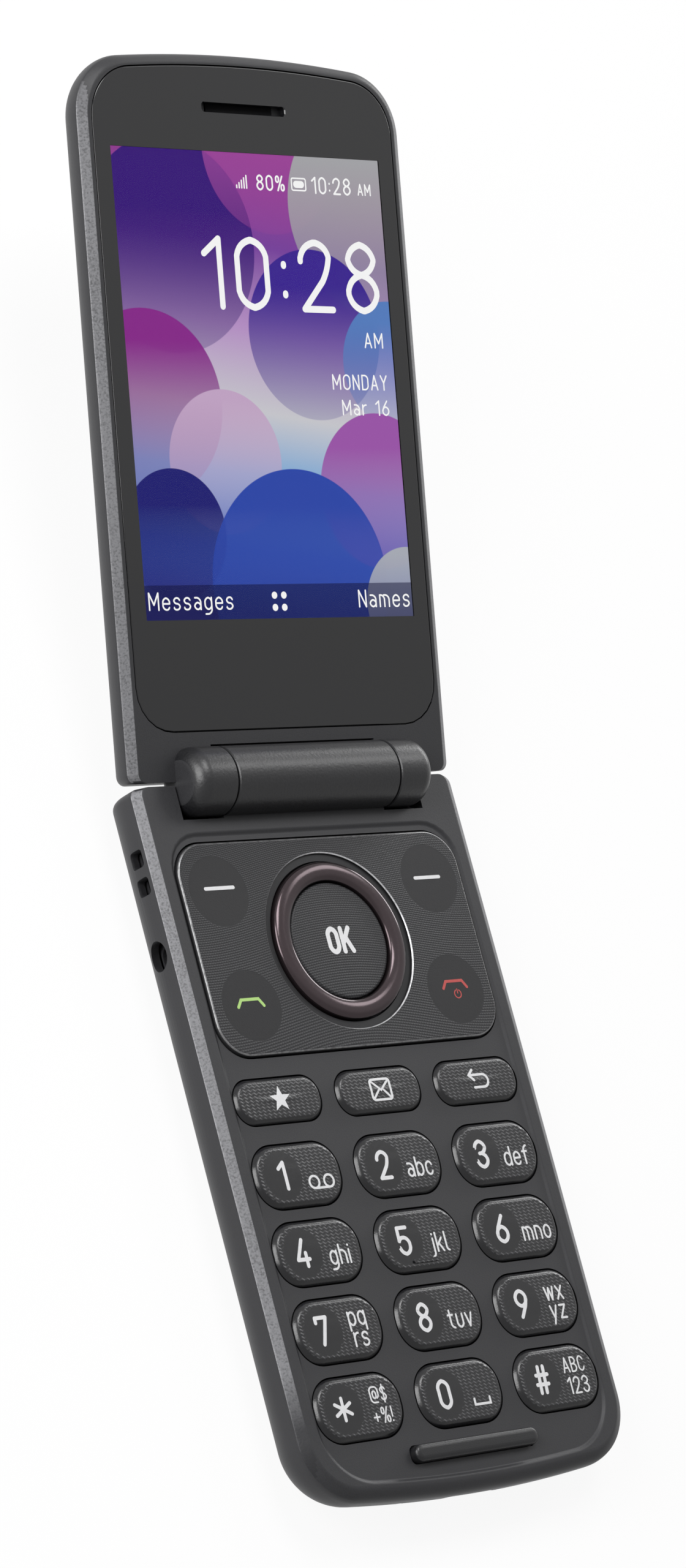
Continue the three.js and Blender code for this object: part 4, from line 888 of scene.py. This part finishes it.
def key_solid(size, radius):
    """A cap about its own middle: a flange, a straight wall, a rounded shoulder and a low dome."""
    top = key_top(size, radius)
    rings = [level(key_outline(0, 0, size, radius, grow), z) for grow, z in
        ((key_flange, key_foot), (key_flange, key_flange_top), (0, key_flange_top))]
    insets = (0, 0.03, 0.08, 0.15, 0.23, 0.32, 0.42, 0.52, 0.62, 0.72, 0.8, 0.95, 1.2, 1.7, 2.2, 2.7)
    crown = [key_outline(0, 0, size, radius, -inset) for inset in insets]
    crown += [[(x * share, y * share) for x, y in crown[-1]] for share in (0.75, 0.5, 0.25, 0.06)]
    return skin_over("cap", rings + [[(x, y, top(x, y)) for x, y in outline] for outline in crown])


def zigzag(name, smooth_oval=None):
    """The keys' plastic: rows of small zigzags on the crown with a painted highlight on their crests, left
    smooth under the digit.
    """
    half_zigzag, row_height, slope, stroke_dip = 0.43, 0.5, 0.6, 0.75
    crown_z = key_shoulder_z + key_rise
    material = grained(name, (0.005, 0.005, 0.006), 0.2, grain=0.15, Specular_IOR_Level=0.42)
    tree = material.node_tree
    calc = partial(maths, tree)
    x, y, z = place_in_mm(tree, "XYZ")
    bend = calc("MULTIPLY", calc("PINGPONG", x, half_zigzag), slope)
    crest = waves(tree, calc("DIVIDE", calc("ADD", y, bend), row_height))
    turn = calc("FRACT", calc("DIVIDE", x, 2 * half_zigzag))
    stroke = calc("MULTIPLY_ADD", calc("LESS_THAN", turn, 0.5), stroke_dip, 1 - stroke_dip)
    height = calc("MULTIPLY", calc("POWER", crest, 2.2), stroke)
    if smooth_oval:
        height = calc("MULTIPLY", height, outside_oval(tree, x, y, *smooth_oval, soft=0.3))
    on_crown = node(tree, "MapRange", z, From_Min=crown_z - 0.05, From_Max=crown_z - 0.005)[0]
    return textured(material, calc("MULTIPLY", height, on_crown), (0.068, 0.068, 0.072), 0.000028)


digit_x = -3.1
number_finish = zigzag("zigzag_number_key", (digit_x + 0.1, 0.0, 3.1, 3.3))
function_finish = zigzag("zigzag_function_key")


def mail_sign():
    box = line_sign(rounded(-1.75, 1.75, -1.45, 1.45, 0.45, steps=4), 0.34, closed=True)
    flap = line_sign([(-1.5, 1.2), (0, -0.1), (1.5, 1.2)], 0.3)
    folds = [line_sign([(side * 1.5, -1.2), (side * 0.45, -0.1)], 0.3) for side in (-1, 1)]
    return [box, flap] + folds


def star_sign(radius):
    tips = [(reach * sin(pi * k / 5), reach * cos(pi * k / 5))
        for k in range(10) for reach in [radius * (0.42 if k % 2 else 1)]]
    return [(tips, [tuple(reversed(range(10)))])]


def back_sign():
    hook = [(-1.5, 0.75), (0.9, 0.75)] + arc(0.9, -0.15, 0.9, pi / 2, -pi / 2, 8)[1:] + [(-0.9, -1.05)]
    return [line_sign(hook, 0.36), line_sign([(-0.75, 1.5), (-1.55, 0.75), (-0.75, 0.0)], 0.36)]


def tape_sign():
    loops = [line_sign(circle(x, -1.3, 0.85, 20), 0.32, closed=True) for x in (2.1, 4.7)]
    return loops + [line_sign([(2.1, -2.15), (4.7, -2.15)], 0.32)]


def asterisk_sign(reach):
    return [line_sign([(digit_x + way * reach * cos(a), way * reach * sin(a)) for way in (-1, 1)], 0.5)
        for a in (pi / 2, pi / 6, -pi / 6)]


def small(text, y=-0.7, x=3.2, height=2.55):
    return lettering(text, height, x, y, height * 0.115, wide=0.95, apart=0.14)


key_signs = {
    "1": tape_sign(), "2": small("abc"), "3": small("def"), "4": small("ghi"), "5": small("jkl"),
    "6": small("mno"), "7": small("pq", 1.5) + small("rs", -1.35), "8": small("tuv"),
    "9": small("wx", 1.3) + small("yz", -1.35),
    "star": asterisk_sign(1.5) + small("@$", 1.4, 3.4, 2.0) + small("+%!", -1.5, 3.4, 2.0),
    "0": [line_sign([(1.9, -1.2), (1.9, -2.0), (4.7, -2.0), (4.7, -1.2)], 0.34)],
    "hash": small("ABC", 1.5, 3.2, 2.0) + small("123", -1.4, 3.2, 2.2),
    "favourite": star_sign(1.85), "message": mail_sign(), "back": back_sign(),
}
for name, x, place, size, radius in function_keys + number_keys:
    body = "digit_" + name if name.isdigit() else name
    seat = keypad_place @ Matrix.Translation((x * MM, -place * MM, 0))
    cap = key_solid(size, radius)
    # Painted shade: each cap is near-black below 0.6 mm under the face, where it shows through the gap.
    dress(cap, [number_finish if size == key_size else function_finish, dark_parts_and_painted_shade],
        lambda centre, normal: 1 if centre.z < -0.6 else 0)
    fit(cap, "cap_" + name, seat, body, "key_plastic", "key_" + name, own_frame=True)
    digit = "#" if name == "hash" else name if name.isdigit() else ""
    signs = (lettering(digit, 3.65, digit_x, 0.0, 0.54) if digit else []) + key_signs[name]
    mark("marks_" + name, signs, key_top(size, radius), grey_ink, body, seat)

mark("pip_of_5", [dash_sign(0, -3.0, 4.6, 0.5)], key_top(key_size, key_corner), number_finish, "digit_5",
    keypad_place @ Matrix.Translation((0, -(first_row + row_pitch) * MM, 0)), lift=0.22, root=0.1)

# ---------------------------------------------------------------------------
# The closing bar: a raised strip, pressed into the face near its free end, that
# the shut lid comes to rest on.
# ---------------------------------------------------------------------------
bar_corner, bar_bottom, bar_top = 1.15, -0.75, 1.1
bar_solid = stack("bar", partial(grown, *bar_box, bar_corner), ((0, bar_bottom), (0, 0.55), (-0.03, 0.72),
    (-0.12, 0.88), (-0.28, 1.0), (-0.5, 1.07), (-0.75, 1.095), (-1.0, bar_top)))
bar_finish = grained("bar_plastic", (0.008, 0.008, 0.009), 0.3, Specular_IOR_Level=0.33)
dress(bar_solid, [bar_finish], crease=50)
fit(bar_solid, "closing_strip", keypad_place, "keypad_half", "body_plastic", "closing_bar")

# ---------------------------------------------------------------------------
# The display-side housing: the same charcoal moulding with a silver edge band,
# partly silver paint and partly painted highlight. Both hinge knuckles are part
# of it, and the window sits in a pocket in its face.
# ---------------------------------------------------------------------------
lid_end, lid_depth, lid_seam = 101.05, 7.8, -5.8
lid_shape = (1, lid_end, lid_depth, 2.3, 2.1, 1.5)
window = (27.15, 7.0, 99.2, 6.0, 7.6)
pocket_floor, ledge_bottom = -1.3, -1.9
screen_half, screen_start, screen_end = 24.4, 22.2, 87.2
ear_place, ear_room_x, ear_room_y = 93.35, 6.15, 1.65
lid_screws = [(-23.6, -5.2), (23.6, -5.2)]
ball_x, ball_radius, knuckle_tip = 19.2, 2.3, 2.5


def knuckle(side):
    """A hinge knuckle of the lid, from its broken inner edge to its rounded outer end."""
    rings = [(side * knuckle_start, barrel_radius - edge_drop),
        (side * (knuckle_start + edge_run), barrel_radius)]
    for k in range(13):
        angle = pi / 2 * k / 12
        rings.append((side * (ball_x + ball_radius * sin(angle)), knuckle_tip + ball_radius * cos(angle)))
    return along_x(rings)


def screen_room(grow, z0, z1):
    return block(-screen_half - grow, screen_half + grow, screen_start - grow, screen_end + grow, z0, z1)


lid_cavity = work(half_block(*lid_shape, skin), [block(*past_lid, ledge_bottom, 20), saddle(0),
    block(*past_lid, -20, lid_seam)] + bored(screw_well, -5.5, 0, lid_screws))
display_housing = work(half_block(*lid_shape, 0), [prism(grown_face(*window, 0.15), pocket_floor, 4),
    screen_room(0.4, -10, 4),
    block(-ear_room_x, ear_room_x, ear_place - ear_room_y, ear_place + ear_room_y, -10, 4),
    block(*past_lid, -20, lid_seam), lid_cavity])
display_housing = work(display_housing, [knuckle(-1), knuckle(1)], "UNION")
display_housing = work(display_housing, [rod_x(barrel_radius + barrel_room, -knuckle_start, knuckle_start),
    rod_x(shaft_bore, -19.2, -14.6), rod_x(pin_bore, 14.6, 19.2)]
    + bored(screw_hole, -7.8, -2.32, lid_screws, 16))
dress(display_housing, [charcoal, silver_band_highlight, dark_parts_and_painted_shade, barrel_satin], on_band)
fit(display_housing, "display_housing", lid_place, "lid", "body_plastic", "lid_front_housing")

# ---------------------------------------------------------------------------
# The outer shell of the lid, moulded in the same plastic, with openings for the
# small window, the camera and the two screws next to the hinge.
# ---------------------------------------------------------------------------
camera_place = 90.6
outer_box = (-17.0, 17.0, 50.0, 83.0, 3.5)
outer_opening, camera_opening = (-14.7, 14.7, 52.3, 80.7), 3.8
shell = work(half_block(*lid_shape, 0), [half_block(*lid_shape, skin),
    block(*past_lid, lid_seam - seam_gap, 20)])
shell = work(shell, [prism(grown(*outer_box, 0.15), -12, -6.95), block(*outer_opening, -12, 4),
    disc(camera_opening, -12, 4, 0, camera_place)] + bored(screw_head, -12, -6.8, lid_screws)
    + bored(screw_hole, -12, 4, lid_screws, 16))
dress(shell, [charcoal])
fit(shell, "lid_shell", lid_place, "lid", "body_plastic", "lid_rear_housing")

# ---------------------------------------------------------------------------
# The front window: clear acrylic, printed black from behind except over the
# display, with polished edges and a slot for the ear.
# ---------------------------------------------------------------------------
window_solid = stack("window", partial(grown_face, *window), ((-0.1, -1.0), (0, -0.9), (0, -0.14),
    (-0.03, -0.06), (-0.08, -0.015), (-0.15, 0.0)))
ear_slot = stack("tool", partial(grown, -7.5, 7.5, ear_place - 0.6, ear_place + 0.6, 0.4), ((0, -4),
    (0, -0.25), (0.06, -0.08), (0.16, 0.02), (0.16, 4)))
window_solid = work(window_solid, [ear_slot, screen_room(0.12, -4, -0.14)])
glass, glass_tree, glass_shader = new_material("window_acrylic", Base_Color=(0.006, 0.006, 0.007, 1),
    Roughness=0.07)
calc = partial(maths, glass_tree)
across, along = place_in_mm(glass_tree)
from_middle = calc("SUBTRACT", along, (screen_start + screen_end) / 2)
clear = calc("MULTIPLY", calc("LESS_THAN", calc("ABSOLUTE", across), screen_half),
    calc("LESS_THAN", calc("ABSOLUTE", from_middle), (screen_end - screen_start) / 2))
feed(glass_tree, glass_shader.inputs["Alpha"], calc("MULTIPLY_ADD", clear, -0.94, 1.0))
smears = node(glass_tree, "MapRange", node(glass_tree, "TexNoise", Scale=40.0)[0], To_Min=0.05, To_Max=0.1)[0]
feed(glass_tree, glass_shader.inputs["Roughness"], smears)
dress(window_solid, [glass], crease=60)
fit(window_solid, "front_window", lid_place, "lid", "window_acrylic", "display_window", own_frame=True)

# ---------------------------------------------------------------------------
# The main display: a lit panel behind the window, with a plain picture of soft
# overlapping discs, a clock, a status line and two labels for the soft keys.
# ---------------------------------------------------------------------------
lit_z = -0.2
lit_back, panel_front, panel_back = -2.4, -2.1, -2.8
lit = rounded(-screen_half, screen_half, screen_start, screen_end, 0.05, steps=1)
display_panel = work(block(-25.7, 25.7, 18.8, 88.5, panel_back, panel_front), [prism(lit, lit_back, lit_z)],
    "UNION")
screen_colours = ((0.00, (0.028, 0.030, 0.22)), (0.14, (0.05, 0.12, 0.50)), (0.30, (0.20, 0.42, 0.72)),
    (0.44, (0.62, 0.62, 0.66)), (0.62, (0.50, 0.30, 0.60)), (0.80, (0.20, 0.06, 0.36)),
    (1.0, (0.33, 0.05, 0.28)))
disc_colours = (
    (-15.0, 74.0, 15.0, (0.045, 0.012, 0.20), 0.85), (-21.0, 52.0, 13.0, (0.26, 0.025, 0.27), 0.7),
    (4.0, 88.0, 12.0, (0.36, 0.07, 0.36), 0.75), (22.0, 80.0, 15.0, (0.40, 0.40, 0.42), 0.8),
    (10.0, 62.0, 12.0, (0.05, 0.022, 0.30), 0.75), (24.0, 58.0, 9.0, (0.10, 0.22, 0.55), 0.7),
    (-8.0, 44.0, 10.0, (0.58, 0.40, 0.60), 0.6), (20.0, 40.0, 11.0, (0.35, 0.10, 0.42), 0.75),
    (-18.0, 34.0, 9.0, (0.018, 0.018, 0.18), 0.8), (4.0, 27.0, 16.0, (0.03, 0.07, 0.42), 0.7),
    (24.0, 24.0, 8.0, (0.42, 0.44, 0.50), 0.6))


def glowing(name):
    """A material that gives white light of its own, its tree and the socket of the light's colour."""
    material, tree, shader = new_material(name)
    tree.nodes.remove(shader)
    light = tree.nodes.new("ShaderNodeEmission")
    show(tree, light.outputs[0])
    return material, tree, light.inputs["Color"]


def lit_picture():
    material, tree, shown = glowing("lit_picture")
    calc = partial(maths, tree)
    x, y = place_in_mm(tree)
    ramp = tree.nodes.new("ShaderNodeValToRGB")
    stops = ramp.color_ramp.elements
    while len(stops) < len(screen_colours):
        stops.new(0.5)
    for stop, (share, colour) in zip(stops, screen_colours):
        stop.position, stop.color = share, [*colour, 1]
    up = calc("SUBTRACT", calc("ADD", y, calc("MULTIPLY", x, 0.12)), screen_start)
    feed(tree, ramp.inputs[0], calc("DIVIDE", up, screen_end - screen_start))
    colour = ramp.outputs[0]
    for cx, cy, radius, tint, share in disc_colours:
        inside = calc("SUBTRACT", 1.0, outside_oval(tree, x, y, cx, cy, radius, radius, soft=0.1))
        fade = calc("MULTIPLY_ADD", calc("SUBTRACT", y, cy), 0.45 / radius, share)
        fade = calc("MINIMUM", calc("MAXIMUM", fade, 0.12), 1.0)
        colour = tinted(tree, calc("MULTIPLY", inside, fade), colour, tint)
    strip = calc("MULTIPLY", calc("LESS_THAN", y, 27.0), 0.7)
    feed(tree, shown, tinted(tree, strip, colour, (0.008, 0.008, 0.06)))
    return material


dress(display_panel, [lit_picture(), dark_parts_and_painted_shade],
    lambda centre, normal: 0 if normal.z > 0.9 and centre.z > lit_z - 0.1 else 1)
fit(display_panel, "display_panel", lid_place, "lid", "display_glass", "main_display", own_frame=True)

status_y, clock_y, label_y = 83.2, 70.3, 24.8
screen_marks = [line_sign([(-2.2 + k * 0.45, status_y - 0.9), (-2.2 + k * 0.45, status_y - 0.55 + k * 0.35)],
    0.22) for k in range(5)]
for words in (
        ("80%", 2.0, 4.0, status_y, 0.26, 0.5, 1.05), ("10:28", 2.2, 15.2, status_y, 0.26, 0.5, 1.05),
        ("AM", 1.5, 21.4, status_y - 0.3, 0.2, 0.5, 1.0)):
    screen_marks += lettering(*words)
screen_marks += [
    line_sign(rounded(7.9, 10.5, status_y - 0.85, status_y + 0.85, 0.25, steps=3), 0.2, closed=True),
    line_sign([(8.7, status_y), (9.7, status_y)], 1.0)]
for words in (
        ("10:28", 9.4, 22.3, clock_y, 0.95, 1.0, 1.12), ("AM", 2.0, 22.6, 61.4, 0.22, 1.0, 1.1),
        ("MONDAY", 2.0, 22.8, 55.4, 0.22, 1.0, 1.05), ("Mar 16", 2.0, 22.8, 51.8, 0.22, 1.0, 1.1),
        ("Messages", 2.3, -23.6, label_y, 0.24, 0.0, 1.1), ("Names", 2.3, 23.8, label_y, 0.24, 1.0, 1.1)):
    screen_marks += lettering(*words)
for side in (-1, 1):
    for up in (-1, 1):
        dot = circle(-0.3 + side * 0.85, 24.6 + up * 0.85, 0.5, 16)
        screen_marks.append((dot, [tuple(range(16))]))
mark("screen_text", screen_marks, flat_top(lit_z), glowing("white_light")[0], "lid", lid_place,
    "display_glass", lift=0.02, root=0.01)

# ---------------------------------------------------------------------------
# The small window and the camera on the outside of the lid: a dark acrylic
# pane, a turned metal ring and a coated lens.
# ---------------------------------------------------------------------------
outer_pane = stack("pane", partial(grown, *outer_box), ((-0.15, -7.8), (-0.06, -7.78), (0, -7.7), (0, -7.0)))
dark_glass = grained("dark_acrylic", (0.006, 0.006, 0.008), 0.08, grain=2.0, pit=0.000001)
dress(outer_pane, [dark_glass], crease=60)
fit(outer_pane, "outer_pane", lid_place, "lid", "window_acrylic", "outer_window")
rim_profile = [(2.9, -8.0), (3.0, -8.12), (3.2, -8.19), (4.1, -8.2), (4.3, -8.14), (4.4, -8.0), (4.4, -7.9),
    (3.7, -7.9), (3.7, -6.6), (2.9, -6.6)]
rim_solid = turned_up("rim", rim_profile, 0, camera_place, 96)
rim_metal = grained("turned_metal", (0.30, 0.30, 0.31), 0.3, grain=0.5, tone=0.1, Metallic=0.9)
dress(rim_solid, [rim_metal])
fit(rim_solid, "lens_ring", lid_place, "lid", "ring_metal", "camera_rim")
lens_profile = [(0, -7.35), (2.8, -7.35), (2.8, -7.9), (2.4, -7.93), (1.4, -7.95), (0, -7.95)]
lens_solid = turned_up("lens", lens_profile, 0, camera_place, 96)
dress(lens_solid, [dark_glass])
fit(lens_solid, "coated_lens", lid_place, "lid", "window_acrylic", "camera_lens")

# ---------------------------------------------------------------------------
# Inside pieces that show only through gaps, or not at all: the inner frame,
# boards, sockets, battery, sheet-metal cans and screws keep their shapes.
# ---------------------------------------------------------------------------
steel = grained("rolled_steel", (0.45, 0.45, 0.46), 0.35, grain=0.6, tone=0.08, Metallic=0.9)
black_steel = grained("black_steel", (0.06, 0.06, 0.062), 0.35, grain=0.6, tone=0.08, Metallic=0.8)
green_board = grained("green_board", (0.015, 0.09, 0.045), 0.5, grain=0.5)
silicone = grained("grey_silicone", (0.08, 0.08, 0.09), 0.85, grain=0.4)
label_paper = grained("battery_wrap", (0.03, 0.03, 0.035), 0.6, grain=0.5)
# The steel earpiece mesh behind the ear slot gets the near-black colour as painted shade.
for finish, names in (
        (charcoal, "base_rear_housing headphone_jack"), (label_paper, "battery"),
        (green_board, "main_board lid_board"), (silicone, "key_mat nav_ring_seat"),
        (steel, "key_dome_sheet shield_can sim_reader usb_socket vibration_motor hinge_cartridge "
            "nav_plate_carrier closing_magnet hinge_cam_shaft hinge_pin"),
        (dark_parts_and_painted_shade, "battery_contacts microphone loudspeaker earpiece_mesh earpiece outer_display "
            "camera_module"),
        (black_steel, "base_screw_1 base_screw_2 base_screw_3 base_screw_4 lid_screw_1 lid_screw_2")):
    for name in names.split():
        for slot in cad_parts[name].material_slots:
            slot.material = finish
